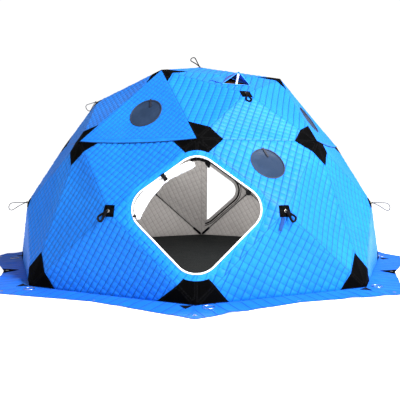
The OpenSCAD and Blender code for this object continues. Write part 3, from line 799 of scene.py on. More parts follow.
# %% The seventeen quilted panels
LATTICE_PARTS = {"wall": (5, 5), "roof": (5, 4), "corner": (4, 4), "crown": (5, 5)}
PANEL_LOWEST, PANEL_TAPER = 0.0015, 1.15
around, ahead = half_door, np.roll(half_door, -1, 0)
doorway_area = abs(np.sum(around[:, 0] * ahead[:, 1] - ahead[:, 0] * around[:, 1]))


def flat_size(name):
    """A panel's cut width, height and area in metres, less its openings."""
    p = np.array(panels[name] if name in panels else by_panel[name][0].corners)
    area = sum(np.linalg.norm(np.cross(f.corners[1] - f.corners[0], f.corners[2] - f.corners[0])) / 2
               for f in by_panel[name])
    width = max(np.linalg.norm(p[1] - p[0]), np.linalg.norm(p[2] - p[1]) if name == "roof_crown" else 0)
    height = area / width * PANEL_TAPER if name in panels else 2 * area / width
    for f in by_panel[name]:
        area -= math.pi * WINDOW_R ** 2 if f.window is not None else 0
        area -= 0.5 * doorway_area if f.door else 0
    return (round(float(width), 3), round(float(height), 3)), round(float(area), 3)


def sew_panel(name, parts):
    cloth = Cloth()
    for f in by_panel[name]:
        outlines = [facet_outline(f)]
        if f.window is not None:
            outlines.append(circle_line(f.window, WINDOW_R, WINDOW_SIDES))
        if f.door:
            outlines.append(door_line(f, 0))

        def inside(q, f=f):
            kept = edge_distance(f, q) > 1e-7
            if f.window is not None:
                kept &= np.linalg.norm(q - f.window, axis=1) > WINDOW_R - 5e-4
            if f.door:
                kept &= door_distance(*seam_place(f, q)) > 0
            return kept
        cloth.add(f, outlines, quilt_lattice(f, parts), inside, outer_skin, inner_skin, QUILT_STEP)
    made = cloth.build(name + "_cloth", [shell_blue, lining_grey], "shell", name, PANEL_LOWEST)
    flat, area = flat_size(name)
    "wall_poles" if "wall" in name else "roof_poles"


for name in by_panel:
    sew_panel(name, LATTICE_PARTS[kind_of(by_panel[name][0])])
print(len(by_panel), "panels,", sum(triangles.values()), "triangles, doorway", round(doorway_area, 3), "m2")

# %% [markdown]
# Black reinforcing patches are sewn over the corners where poles end, and one
# small square covers each hub. They are thin woven nylon, so they follow every
# fold of the shell. Sewing them from the same facets keeps them exactly on the
# cloth, and their distance to the edge is stored so that the finish can draw
# two rows of stitches.

# %% Black woven cloth, with or without rows of stitches
def woven_black(name, shade, light, rough, rows=True):
    f = Finish(name, Specular_IOR_Level=0.03)
    along, across, border = f.parts(f.attribute("quilt"))
    weave = f.maths("SINE", along * 2100) * f.maths("SINE", across * 2100)
    dust = f.between(f.noise(9, 5), 0.45, 0.85)
    cloth = f.mix(shade, light, dust * 0.5 + f.between(weave, -1, 1) * 0.18)
    height = weave * 0.25
    if rows:
        first = 1 - f.between(f.maths("ABSOLUTE", border - 0.006), 0.0006, 0.0013)
        second = 1 - f.between(f.maths("ABSOLUTE", border - 0.012), 0.0006, 0.0013)
        dash = f.between(f.maths("SINE", (along + across) * 1500), -0.5, 0)
        thread = f.maths("MAXIMUM", first, second) * dash
        cloth = f.mix(cloth, (0.010, 0.010, 0.011), thread * 0.8)
        height = height + thread
    normal = f.bump(height, 0.0006, 0.8, f.bump(f.noise(34, 4), 0.002, 0.5))
    return f.to(Base_Color=cloth, Roughness=rough + f.noise(55, 3) * 0.15, Normal=normal)


patch_black = woven_black("black_woven_nylon", (0.0003, 0.0003, 0.0004), (0.0016, 0.0016, 0.0018), 0.8)
print("patch finish:", patch_black.material.name)

# %% [markdown]
# The patches follow the cloth under them, ripples and all. Beside a doorway they
# are cut back, so that the facing and the piping stay clear.

# %% The stitched patches
PATCH_T, DOOR_PATCH_GAP, GROUND_LOWEST = 0.0022, 0.037, 0.0075


def patch_marks(t):
    return lambda facet, q: np.column_stack([q, -triangle_distance(t, q)])


def sew_patches(kind, lift, step):
    cloth = Cloth()
    for f in facets:
        for found, t in f.patches:
            if found != kind:
                continue

            def inside(q, f=f, t=t):
                kept = triangle_distance(t, q) < -1e-7
                if f.door:
                    kept &= door_distance(*seam_place(f, q)) > DOOR_PATCH_GAP
                return kept
            outlines = [closed_line(list(t), step)]
            if f.door:
                outlines.append(door_line(f, DOOR_PATCH_GAP))

            def bottom(f, q):
                return outer_skin(f, q) + lift + 0.0007 * uneven(q, 30, 5)

            def top(f, q):
                return outer_skin(f, q) + lift + PATCH_T + 0.0007 * uneven(q, 30, 5)
            cloth.add(f, outlines, grid_over(t.min(0), t.max(0), step), inside, top, bottom, step,
                      patch_marks(t))
    cloth.build(kind + "_cloth", [patch_black, patch_black],
                "hub_patch" if kind == "hub_patches" else "patch", kind,
                GROUND_LOWEST if kind == "ground_patches" else None)


for kind in ("ground_patches", "eave_patches", "crown_patches"):
    sew_patches(kind, 0.0006, 0.022)
sew_patches("hub_patches", 0.0008, 0.016)
print("patches:", {k: v for k, v in triangles.items() if "patches" in k})

# %% [markdown]
# Round each doorway runs a flat facing of the same blue cloth, which stiffens
# the cut edge and covers the ends of the quilting. It is a band of constant
# width, so the signed distance to the doorway gives it directly.

# %% The facings round the doorways
FACING, FACING_TOP, FACING_BOTTOM = (0.012, 0.060), 0.0034, 0.0006
facing_blue = quilted("facing_blue_polyester", (0.002, 0.06, 0.28), (0.007, 0.20, 0.74),
                      (0.012, 0.25, 0.82), 0.5, 0.22, 0.40)


def sew_facing(name, walls):
    cloth = Cloth()
    for wall, side in walls:
        f = by_panel[wall][side]
        outlines = [facet_outline(f), door_line(f, FACING[0]), door_line(f, FACING[1])]

        def inside(q, f=f):
            d = door_distance(*seam_place(f, q))
            return (d > FACING[0]) & (d < FACING[1]) & (edge_distance(f, q) > 1e-7)

        def marks(f, q):
            d = door_distance(*seam_place(f, q))
            return np.column_stack([quilt_place(f, q), np.minimum(d - FACING[0], FACING[1] - d)])
        cloth.add(f, outlines, quilt_lattice(f, (5, 5)), inside,
                  lambda f, q: CLOTH_BASE + sag(f, q) + FACING_TOP,
                  lambda f, q: CLOTH_BASE + sag(f, q) + FACING_BOTTOM, QUILT_STEP, marks)
    cloth.build(name, [facing_blue, facing_blue], "shell")


DOOR_WALLS = {"front": ((WALL_NAMES[0], 3), (WALL_NAMES[7], 1)),
              "back": ((WALL_NAMES[4], 3), (WALL_NAMES[3], 1))}
for way, walls in DOOR_WALLS.items():
    sew_facing(way + "_door_facing", walls)
print("facings", round(FACING[1] - FACING[0], 3), "m wide")

# %% [markdown]
# Piping, rims, webbing, zips and tubes are all one thing to a maker: a section
# carried along a path. The helper takes the path, the way up at each point and
# the section as (side, up) offsets, and it can change the section on the way.

# %% Carrying a section along a path
def carried(path, ups, section, closed=False, caps=True, scale=None):
    """Points and faces of a section swept along a path. scale(i) gives (side, up) factors."""
    path, count, ring = np.array(path), len(path), len(section)
    if closed:
        ahead, behind = np.roll(path, -1, 0), np.roll(path, 1, 0)
    else:
        ahead, behind = np.vstack([path[1:], path[-1:]]), np.vstack([path[:1], path[:-1]])
    points = []
    for i in range(count):
        t = unit(ahead[i] - behind[i])
        up = np.array(ups[i] if len(np.shape(ups)) == 2 else ups, float)
        up = unit(up - (up @ t) * t)
        side = np.cross(t, up)
        w, h = scale(i) if scale else (1, 1)
        points += [path[i] + side * s * w + up * u * h for s, u in section]
    faces = []
    for i in range(count if closed else count - 1):
        a, b = i * ring, (i + 1) % count * ring
        for j in range(ring):
            n = (j + 1) % ring
            faces.append([a + j, a + n, b + n, b + j][::-1])
    if caps and not closed:
        faces += [list(range(ring)), list(range((count - 1) * ring, count * ring))[::-1]]
    return points, faces


def joined(pieces):
    points, faces = [], []
    for p, f in pieces:
        faces += [[n + len(points) for n in face] for face in f]
        points += list(p)
    return points, faces


def oval(width, height, count=12, lift=0.0):
    turns = [2 * math.pi * i / count for i in range(count)]
    return [(width / 2 * math.cos(a), lift + height / 2 * math.sin(a)) for a in turns]


def tape(width, thick, lift=0.0):
    """A flat webbing section with slightly rounded edges."""
    w, t, r = width / 2, thick / 2, thick * 0.35
    return [(-w + r, lift - t), (w - r, lift - t), (w, lift), (w - r, lift + t),
            (0, lift + t * 1.15), (-w + r, lift + t), (-w, lift)]


def smooth_path(points, count):
    """A Catmull-Rom curve through the points."""
    p = np.array(points, float)
    p = np.vstack([2 * p[0] - p[1], p, 2 * p[-1] - p[-2]])
    found = []
    for s in np.linspace(0, len(points) - 1 - 1e-9, count):
        i = int(s)
        t, (a, b, c, d) = s - i, p[i:i + 4]
        found.append(0.5 * (2 * b + (c - a) * t + (2 * a - 5 * b + 4 * c - d) * t * t
                            + (3 * b - a - 3 * c + d) * t ** 3))
    return np.array(found)


print("helpers: carried, joined, oval, tape, smooth_path")

# %% [markdown]
# The doorway's piping is a bead of white coated tape folded over the cut edge.
# It is round on top and flat below, and it bends over the ridge of the seam at
# the top and the bottom of the doorway.

# %% Lines that run round a doorway
def lifted(seam, line, lift):
    """Points of the unfolded wall as points in space, with the way out at each."""
    line = [(0.0 if abs(x) < 1e-6 else x, y) for x, y in line]
    return (np.array([seam.at(x, y, lift) for x, y in line]),
            np.array([seam.out(x) for x, _ in line]))


def door_ring(seam, grow, lift):
    """The doorway's whole outline."""
    right = door_edge(grow, 16)
    loop = [*right, *(right[::-1][1:-1] * (-1, 1))]
    return lifted(seam, closed_line(loop, 0.03)[:-1], lift)


def along_door(seam, grow, lift, kept):
    """The doorway's outline cut down to the points that kept(x, y) allows, in order."""
    right = door_edge(grow, 16)
    loop = [*right, *(right[::-1] * (-1, 1))]
    line = [p for a, b in zip(loop, loop[1:]) for p in spaced(a, b, 0.02)]
    return lifted(seam, [p for p in line if kept(*p)], lift)


print("a doorway's ring has", len(door_ring(front_seam, 0, 0)[0]), "points")

# %% [markdown]
# Coated tape has a faint sheen, a little dirt and a fine grain. The same finish
# in other colours serves for bands, rims, rods and the strut.

# %% White piping round the doorways
def coated(name, shade, dirt, rough, fine=420, bump=0.0004, coat=0.15):
    f = Finish(name, Coat_Weight=coat, Coat_Roughness=0.3, Specular_IOR_Level=0.45)
    marks = f.between(f.noise(6, 5), 0.45, 0.8)
    cloth = f.mix(shade, dirt, marks * 0.6)
    normal = f.bump(f.noise(fine, 2), bump, 0.6, f.bump(f.noise(40, 4), bump * 4, 0.5))
    return f.to(Base_Color=cloth, Roughness=rough + f.noise(30, 3) * 0.18, Normal=normal)


rim_black = woven_black("black_zip_tape", (0.0008, 0.0008, 0.0010), (0.004, 0.004, 0.0045), 0.7,
                        rows=False)
piping_white = coated("white_coated_piping", (0.93, 0.93, 0.94), (0.80, 0.81, 0.83), 0.40)
PIPING_W, PIPING_T, PIPING_LIFT, PIPING_TUCK = 0.014, 0.010, 0.0062, 0.001
BEAD = [(-0.5, -0.30), (-0.30, -0.5), (0.30, -0.5), (0.5, -0.30), (0.47, 0.12),
        (0.32, 0.40), (0.1, 0.5), (-0.1, 0.5), (-0.32, 0.40), (-0.47, 0.12)]


def bead(width, thick):
    """A section that is round on top and flat below."""
    return [(s * width, u * thick) for s, u in BEAD]


for seam, name in ((front_seam, "front_door_piping"), (back_seam, "back_door_piping")):
    path, ups = door_ring(seam, PIPING_W / 2 - PIPING_TUCK, PIPING_LIFT)
    solid(name + "_bead", *carried(path, ups, bead(PIPING_W, PIPING_T), closed=True),
          [piping_white], "piping", name)
round_door = np.linalg.norm(np.roll(path, -1, 0) - path, axis=1).sum()
print("piping runs", round(float(round_door), 3), "m round a doorway")

# %% [markdown]
# Zips run just outside each opening on the inside of the wall. At the front the
# whole ring shows a dark tape with a row of teeth: the two are swept as separate
# sections, and the finish cuts the row into teeth. At the back only the half
# that is zipped shows, as a tape beside a grey band.

# %% Zips inside the doorways
def toothed(name):
    f = Finish(name, Specular_IOR_Level=0.5)
    x, y, z = f.parts(f.node("ShaderNodeTexCoord", out=3))
    teeth = f.between(f.maths("SINE", (x + z) * 1700), -0.3, 0.3)
    colour = f.mix((0.004, 0.004, 0.004), (0.03, 0.03, 0.032), teeth)
    return f.to(Base_Color=colour, Roughness=0.35 + f.noise(60, 2) * 0.3,
                Normal=f.bump(teeth, 0.0008, 0.9))


zip_black = toothed("black_zip")
band_grey = coated("grey_zip_band", (0.29, 0.28, 0.275), (0.23, 0.225, 0.22), 0.6, 500, 0.0004, 0.0)
OPEN_SIDE, ZIP_LIFT, TOP_LIFT, BAND_LIFT = -0.052, -0.0055, -0.0075, -0.0045
TOP_MIDDLE, TOP_HALF = -0.065, 0.045
strips = []
for grow, width, thick in ((0.022, 0.014, 0.003), (0.056, 0.009, 0.0035)):
    ring = door_ring(front_seam, grow, ZIP_LIFT)
    strips += [carried(*ring, section, closed=True)
               for section in (tape(width, thick), oval(0.006, 0.005, 6, -0.002))]
solid("front_door_zip", *joined(strips), [zip_black], "webbing")
strips = []
for grow, width in ((0.052, 0.022), (0.082, 0.009)):
    shut = along_door(back_seam, grow, ZIP_LIFT, lambda x, y: x < OPEN_SIDE)
    strips.append(carried(*shut, tape(width, 0.003)))
top = along_door(back_seam, 0.030, TOP_LIFT, lambda x, y: abs(x - TOP_MIDDLE) < TOP_HALF and y > 1)
strips.append(carried(*top, tape(0.020, 0.003)))
solid("back_door_zip", *joined(strips), [rim_black], "webbing")
shut = along_door(back_seam, 0.026, BAND_LIFT, lambda x, y: x < OPEN_SIDE)
solid("back_door_band", *carried(*shut, tape(0.030, 0.0022)), [band_grey], "shell")
print("zips:", {k: v for k, v in triangles.items() if "zip" in k or "band" in k})

# %% [markdown]
# The front zip ends at the head of the doorway: a short stretch of tape hangs
# free of the edge there, with the slider parked at its end. The tape's width
# varies a little along it, as loose tape does.

# %% The loose end of the front zip and its slider
LOOSE_X, LOOSE_END, SLIDER_Y = -0.060, 0.090, 1.166
SLIDER_WIDTHS = (0.8, 1.1, 1.0, 0.9, 0.6, 0.4)
loose = along_door(front_seam, -0.015, -0.0060, lambda x, y: y > 1 and LOOSE_X < x < LOOSE_END)
loose_tape = carried(*loose, tape(0.026, 0.0028), scale=lambda i: (1 + 0.12 * math.sin(i * 1.3), 1))
solid("front_zip_end", *loose_tape, [rim_black], "webbing")
slider_x = LOOSE_END - 0.004
path = [front_seam.at(slider_x + 0.014 * s, SLIDER_Y + 0.004 - 0.062 * s, -0.001)
        for s in np.linspace(0, 1, len(SLIDER_WIDTHS))]
solid("front_zip_slider", *carried(path, front_seam.out(slider_x), oval(0.046, 0.014, 10),
                                   scale=lambda i: (SLIDER_WIDTHS[i], 1)), [rim_black], "webbing")
print("zip end with", len(loose[0]), "steps")

# %% [markdown]
# The front door is rolled up along the upper left edge of its doorway, and two
# straps hold it. A roll of quilted cloth is a spiral with soft creases: it is
# fat where nothing holds it and waisted at each strap, and its free edge shows
# as a step along its length.

# %% The rolled front door's path and thickness
# The roll is painted near-white, much lighter than the warm grey lining: the white paints the strong light
# and reflections on the roll.
roll_white = coated("flap_lining_painted_bright", (0.95, 0.95, 0.96), (0.84, 0.84, 0.87), 0.5, 300, 0.0006, 0.0)
# Across, up, depth behind the wall and radius
ROLL_PATH = [(-0.020, 1.140, 0.020, 0.028), (-0.100, 1.118, 0.026, 0.039), (-0.258, 1.028, 0.030, 0.030),
             (-0.345, 0.952, 0.032, 0.040), (-0.416, 0.879, 0.034, 0.050), (-0.464, 0.800, 0.032, 0.054),
             (-0.478, 0.738, 0.024, 0.040), (-0.470, 0.680, 0.014, 0.021)]
STRAPS_AT = (0.292, 0.95)
ROLL_STEPS, ROLL_ROUND = 72, 56
LAST = ROLL_STEPS - 1
roll_curve = smooth_path(ROLL_PATH, ROLL_STEPS)
roll_centres = np.array([front_seam.at(x, y, -z) for x, y, z, _ in roll_curve])
roll_out = front_seam.sides[-1][1]


def roll_radius(i):
    s = i / LAST
    waist = sum(0.10 * math.exp(-((s - at) / 0.035) ** 2) for at in STRAPS_AT)
    end = min(1, 0.70 + 5 * min(s, 1 - s))
    return roll_curve[i][3] * (1 - waist) * end


def roll_frame(i, behind):
    """The roll's own side and up at a step."""
    t = unit(roll_centres[min(i + 1, LAST)] - roll_centres[behind])
    up = unit(roll_out - (roll_out @ t) * t)
    return np.cross(t, up), up


roll_length = np.linalg.norm(np.diff(roll_centres, axis=0), axis=1).sum()
print("rolled flap", round(float(roll_length), 3), "m long")

# %% [markdown]
# Each step of the roll is a ring of points on a spiral that swells and creases.
# The ends are stepped inwards in four rings, like the turns of rolled cloth.

# %% The rolled front door
END_RINGS = ((0.004, 0.72), (0.0, 0.58), (0.004, 0.36), (0.001, 0.18))
NEXT = [(j, (j + 1) % ROLL_ROUND) for j in range(ROLL_ROUND)]
points, faces = [], []
for i, centre in enumerate(roll_centres):
    side, up = roll_frame(i, max(i - 1, 0))
    held = math.exp(-min(abs(i / LAST - at) for at in STRAPS_AT) / 0.06)
    for j in range(ROLL_ROUND):
        a = 2 * math.pi * j / ROLL_ROUND
        spiral = 1 - 0.13 * ((a - 3.9) % (2 * math.pi)) / (2 * math.pi)
        crease = 0.07 * noise.noise(Vector((math.cos(a) * 2.2, math.sin(a) * 2.2, i * 0.16)))
        gather = 0.03 * math.sin(9 * a + i * 0.05) * held
        r = roll_radius(i) * (spiral + crease + gather)
        points.append(centre + r * (math.cos(a) * side + math.sin(a) * up))
for i in range(0, LAST * ROLL_ROUND, ROLL_ROUND):
    faces += [[i + j, i + ROLL_ROUND + j, i + ROLL_ROUND + n, i + n][::-1] for j, n in NEXT]
for end, beside, flip in ((0, 1, 1), (LAST, LAST - 1, -1)):
    centre, inward = roll_centres[end], unit(roll_centres[beside] - roll_centres[end])
    rings = [list(range(end * ROLL_ROUND, (end + 1) * ROLL_ROUND))]
    for depth, share in END_RINGS:
        rings.append(list(range(len(points), len(points) + ROLL_ROUND)))
        points += [centre + (points[j] - centre) * share + inward * depth for j in rings[0]]
    for wide, narrow in zip(rings, rings[1:]):
        faces += [[wide[j], wide[n], narrow[n], narrow[j]][::flip] for j, n in NEXT]
    faces.append(rings[-1][::flip])
solid("front_door_roll_cloth", points, faces, [roll_white], "rolled_flap", "front_door_roll")
print("roll:", triangles["front_door_roll_cloth"], "triangles")

# %% [markdown]
# Each strap goes round the roll and over the piping to its toggle. The upper
# strap is broad and the lower one narrow. What shows of the loop round the roll
# is white, like the lining; the rest is black webbing.

# %% Straps round the rolled door
webbing_black = woven_black("black_webbing", (0.004, 0.004, 0.005), (0.016, 0.016, 0.018), 0.5,
                            rows=False)
roll_band = coated("white_roll_band", (0.90, 0.90, 0.92), (0.78, 0.78, 0.82), 0.5, 500, 0.0004, 0.0)
STRAP_T, TAIL_REACH, TAIL_LIFT = 0.0028, (0.050, 0.07, 0.095, 0.12), -0.0160
# Distance across the piping and lift off the wall, then the strap's size and width there
OVER_PIPING = [(-0.014, 0.0135), (-0.004, 0.0150), (0.006, 0.0140),
               (0.018, 0.0105), (0.030, 0.0098), (0.038, 0.0090)]
STRAP_SIZES = ((0.028, 1.3, 0.036), (0.014, 0.5, 0.016))
straps, bands = [], []
for at, (width, size, over_width) in zip(STRAPS_AT, STRAP_SIZES):
    i = round(at * LAST)
    centre, (side, up) = roll_centres[i], roll_frame(i, i - 1)
    r = roll_radius(i) * 1.03 + 0.0018
    for first, last, found in ((-150, 20, straps), (20, 210, bands)):
        ways = [math.cos(a) * side + math.sin(a) * up for a in np.radians(np.linspace(first, last, 25))]
        found.append(carried([centre + r * w for w in ways], ways, tape(width, STRAP_T)))
    place = roll_curve[i][:2]
    along = unit(roll_curve[min(i + 1, LAST)][:2] - roll_curve[i - 1][:2])
    away = np.array([along[1], -along[0]])
    if door_distance(*(place + away * TAIL_REACH[-1])) < 0:
        away = -away
    tail = [front_seam.at(*(place + away * d), TAIL_LIFT) for d in TAIL_REACH]
    path = smooth_path([centre + unit(tail[0] - centre) * r] + tail, 14)
    straps.append(carried(path, roll_out, tape(width, STRAP_T)))
    rim = place - away * float(door_distance(*place))
    over = [front_seam.at(*(rim - away * d * size), z) for d, z in OVER_PIPING]
    straps.append(carried(smooth_path(over, 12), roll_out, tape(over_width, 0.0030)))
solid("door_roll_bands", *joined(bands), [roll_band], "webbing")
solid("door_straps_webbing", *joined(straps), [webbing_black], "webbing", "door_straps")
print(len(bands), "straps hold the roll")

# %% [markdown]
# The back door is unzipped along one side and folded back over itself on the
# outside, so from inside half of the opening is clear and half is lining. The
# closed half lies in the plane of the wall and the folded half lies on top of
# it, lining outwards, with a soft bulge along the fold.

# %% The back door, closed half and folded half
FOLD_X, FLAP_GAP = 0.080, 0.0006


def flap_part(name, node, centre_x, top_at, bottom_at, swell_top, swell_bottom, finishes):
    """Half of the flap: centre_x is where the doorway's outline is centred for it."""
    cloth = Cloth()
    for wall, side in DOOR_WALLS["back"]:
        f = by_panel[wall][side]
        seam, sign = f.door
        loop = door_edge(-FLAP_GAP)
        loop = np.vstack([loop, loop[::-1] * (-1, 1)])
        line = [(x + centre_x, y) for x, y in loop if (x + centre_x) * sign > -1e-9]
        outlines = [facet_outline(f)]
        if len(line) > 2:
            order = line if sign > 0 or centre_x == 0 else line[::-1]
            outlines.append(np.vstack([f.flat(seam.at(x if abs(x) > 1e-9 else sign * 1e-9, y))
                                       for x, y in order]))
        if sign < 0:
            outlines.append(np.vstack([f.flat(seam.at(-FOLD_X, y))
                                       for y in np.arange(0.20, 1.245, QUILT_STEP)]))

        def inside(q, f=f):
            x, y = seam_place(f, q)
            within = door_distance(x, y, centre_x) < -FLAP_GAP
            return within & (x > -FOLD_X) & (edge_distance(f, q) > 1e-7)

        def puff(f, q):
            x, y = seam_place(f, q)
            free = ease(-door_distance(x, y, centre_x), 0.03) * ease(edge_distance(f, q), POLE_CALM)
            return free * ease(x + FOLD_X, 0.03) * swell(f, q)
        cloth.add(f, outlines, quilt_lattice(f, (5, 5)), inside,
                  lambda f, q: top_at + swell_top * puff(f, q),
                  lambda f, q: bottom_at - swell_bottom * puff(f, q), QUILT_STEP)
    return cloth.build(name, finishes, "shell", node)


closed = flap_part("back_door_closed_cloth", "back_door_closed", 0.0,
                   0.0052, 0.0006, 0.2, 0.7, [shell_blue, lining_grey])
folded = flap_part("back_door_folded_cloth", "back_door_folded", -2 * FOLD_X,
                   0.0135, 0.0085, 0.6, 0.05, [lining_grey, shell_blue])
fold = [back_seam.at(-FOLD_X, y, 0.0072) for y in np.arange(0.266, 1.176, 0.0195)]
solid("back_door_fold", *carried(fold, back_seam.sides[-1][1], oval(0.013, 0.016)), [lining_grey], "shell")
print("back door halves", round(closed["cut_area"], 3), "and", round(folded["cut_area"], 3), "m2")

# %% [markdown]
# Each flat roof corner ends in a hem that hangs a little below the eave, over the
# wall and its patches. The hem is a strip whose width grows towards its middle,
# with a dark bound edge, so one section carried along the eave with a changing
# width makes it.

# %% Hems under the roof corners
HEM_DROP, HEM_LIFT, HEM_STEPS, HEM_TUCK = 0.034, 0.0115, 48, 0.004


def plain_cloth(name, shade, light, rough, dye=9, weave=1100, crinkle=45, vary=0.12, **constants):
    f = Finish(name, **constants)
    colour = f.mix(shade, light, f.between(f.noise(dye, 4), 0.4, 0.75))
    return f.to(Base_Color=colour, Roughness=rough + f.noise(40, 2) * vary,
                Normal=f.bump(f.noise(weave, 1), 0.0003, 0.5,
                              f.bump(f.noise(crinkle, 4), 0.002, 0.5)))


MATT = {"Specular_IOR_Level": 0.15, "Sheen_Weight": 0.03}
hem_blue = plain_cloth("corner_hem_blue", (0.005, 0.150, 0.64), (0.008, 0.19, 0.72), 0.45, **MATT)
bound_blue = plain_cloth("bound_edge_navy", (0.001, 0.020, 0.10), (0.002, 0.030, 0.14), 0.55, **MATT)
share = np.linspace(0.02, 0.98, HEM_STEPS)
drop = HEM_DROP * (4 * share * (1 - share)) ** 0.8
hems, bound = [], []
for k in range(ROOFS):
    f = by_panel[WALL_NAMES[2 * k - 1]][2]
    a, b = eave[2 * k - 1], eave[2 * k]
    along = a + np.outer(share, b - a) + HEM_LIFT * f.out
    hems.append(carried(along - np.outer(drop / 2 - HEM_TUCK, f.y), f.out, tape(1, 0.0028),
                        scale=lambda i: (drop[i] + 2 * HEM_TUCK, 1)))
    bound.append(carried(along - np.outer(drop, f.y), f.out, oval(0.007, 0.006, 8)))
solid("roof_corner_hems", *joined(hems), [hem_blue], "shell")
solid("roof_corner_hem_edges", *joined(bound), [bound_blue], "shell")
print("hems hang", round(float(drop.max()), 3), "m below the eave")

# %% [markdown]
# The windows are tinted film, welded in and never quite flat: a shallow ripple
# bends the reflections. Each has a narrow slate-blue rim and a short strap from
# which its cover is tied up.

# %% Windows, rims and cover straps
def tinted():
    f = Finish("tinted_window_film", Coat_Weight=0.01, Coat_Roughness=0.15, Specular_IOR_Level=0.06)
    haze = f.between(f.noise(7, 4), 0.4, 0.75)
    colour = f.mix((0.016, 0.030, 0.062), (0.024, 0.042, 0.084), haze)
    return f.to(Base_Color=colour, Roughness=0.24 + f.noise(18, 3) * 0.14,
                Normal=f.bump(f.noise(11, 2), 0.004, 0.4))


window_tint = tinted()
rim_slate = coated("slate_rim_tape", (0.010, 0.018, 0.042), (0.018, 0.03, 0.06), 0.6, coat=0.0)
cover_strap = coated("navy_cover_strap", (0.003, 0.005, 0.016), (0.008, 0.012, 0.03), 0.6, coat=0.0)
FILM_STEP, FILM_TOP, FILM_BOTTOM, RIM_LIFT = 0.016, 0.0040, 0.0020, 0.0026
STRAP_LIFTS = [0.0095, 0.0108, 0.0100, 0.0085, 0.0078, 0.0078, 0.0082, 0.0088]


def add_window(f, film, rings, ties):
    c = f.window

    def ripple(f, q):
        free = ease(WINDOW_R - np.linalg.norm(q - c, axis=1), 0.06)
        return sag(f, q) + free * (0.0025 * uneven(q, 7, 2) - 0.003)
    film.add(f, [circle_line(c, WINDOW_R - 0.0006, WINDOW_SIDES)],
             grid_over(c - WINDOW_R, c + WINDOW_R, FILM_STEP),
             lambda q: np.linalg.norm(q - c, axis=1) < WINDOW_R - 0.0007,
             lambda f, q: FILM_TOP + ripple(f, q), lambda f, q: FILM_BOTTOM + ripple(f, q), FILM_STEP)
    q = circle_line(c, WINDOW_R, WINDOW_SIDES)[:-1]
    rings.append(carried(f.raised(q) + np.outer(CLOTH_BASE + sag(f, q) + RIM_LIFT, f.out), f.out,
                         bead(0.011, 0.005), closed=True))
    q = np.array([c + np.array([0.004 * i, WINDOW_R + 0.012 - 0.0135 * i])
                  for i in range(len(STRAP_LIFTS))])
    ties.append(carried(f.raised(q) + np.outer(STRAP_LIFTS + sag(f, q), f.out), f.out,
                        tape(0.018, 0.003)))


for kind in ("wall", "roof"):
    film, rings, ties = Cloth(), [], []
    for f in facets:
        if f.window is not None and (f.panel in CORNER_NAMES) == (kind == "roof"):
            add_window(f, film, rings, ties)
    film.build(kind + "_window_film", [window_tint, window_tint], "window_film", kind + "_windows")
    solid(kind + "_window_rim_tape", *joined(rings), [rim_slate], "rim", kind + "_window_rims")
    solid(kind + "_window_straps", *joined(ties), [cover_strap], "webbing")
    print(kind, "windows:", len(rings))

# %% [markdown]
# The roof vent is a small hood: two triangles of cloth that meet in a ridge, a
# flat strut that props the mouth open, insect mesh below and a triangular wing
# at its side. Each triangle is a bellied sheet, subdivided so that it can sag.

# %% A bellied triangle of cloth
def bellied(a, b, c, thick, belly, count=12):
    """A closed triangular sheet that bellies along its own way out."""
    a, b, c = (np.array(p, float) for p in (a, b, c))
    out = unit(np.cross(b - a, c - a))
    index, points, faces = {}, [], []
    for i in range(count + 1):
        for j in range(count + 1 - i):
            s, t = i / count, j / count
            index[i, j] = len(points)
            points.append(a + s * (b - a) + t * (c - a) + out * belly * 27 * s * t * (1 - s - t))
    n = len(points)
    for i in range(count):
        for j in range(count - i):
            faces.append([index[i, j], index[i + 1, j], index[i, j + 1]])
            if i + j < count - 1:
                faces.append([index[i + 1, j], index[i + 1, j + 1], index[i, j + 1]])
    steps = range(count)
    rim = [index[i, 0] for i in steps] + [index[count - i, i] for i in steps]
    rim += [index[0, count - i] for i in steps]
    points = [p + out * way * thick / 2 for way in (1, -1) for p in points]
    faces += [[v + n for v in face[::-1]] for face in faces]
    faces += [[after, v, v + n, after + n] for v, after in zip(rim, rim[1:] + rim[:1])]
    return points, faces


def sheeny(name, shade, light, rough):
    """Cloth with more sheen than the shell, for small parts."""
    return plain_cloth(name, shade, light, rough, 12, 900, 60, 0.15,
                       Sheen_Weight=0.05, Specular_IOR_Level=0.2)


trial = bellied((0, 0, 0), (1, 0, 0), (0, 1, 0), 0.002, 0.01)
print("a bellied triangle has", len(trial[1]), "faces")

# %% [markdown]
# The hood stands on the front roof panel's upper facet, so its points are given
# across, up the slope and out from it.

# %% The vent hood, its mesh, wing and strut
HOOD_W, HOOD_H, HOOD_L, HOOD_DOWN, HOOD_LIFT = 0.300, 0.130, 0.250, 0.335, 0.0075
roof = panels["roof_front"]
hood_x, hood_z = unit(roof[1] - roof[0]), by_panel["roof_front"][2].out
hood_y = np.cross(hood_z, hood_x)
hood_foot = (roof[2] + roof[3]) / 2 - HOOD_DOWN * hood_y + HOOD_LIFT * hood_z


def on_hood(x, y, z):
    return hood_foot + x * hood_x + y * hood_y + z * hood_z


left, right = on_hood(-HOOD_W / 2, 0, 0), on_hood(HOOD_W / 2, 0, 0)
peak, tail_end = on_hood(0, 0.004, HOOD_H - 0.004), on_hood(0, HOOD_L, 0.001)
hood_blue = sheeny("royal_blue_hood", (0.004, 0.045, 0.36), (0.008, 0.075, 0.50), 0.45)
edge_blue = sheeny("light_blue_binding", (0.03, 0.30, 0.85), (0.06, 0.38, 0.9), 0.4)
wing_blue = sheeny("wing_blue_cloth", (0.010, 0.13, 0.62), (0.018, 0.18, 0.74), 0.42)
mesh_brown = woven_black("brown_insect_mesh", (0.045, 0.022, 0.012), (0.10, 0.055, 0.03), 0.7,
                         rows=False)
strut_white = coated("pale_blue_strut_plastic", (0.55, 0.70, 0.92), (0.45, 0.60, 0.84), 0.4)
sides = [bellied(a, b, tail_end, 0.0025, -0.005) for a, b in ((left, peak), (peak, right))]
solid("vent_hood_cloth", *joined(sides), [hood_blue], "hood", "vent_hood")
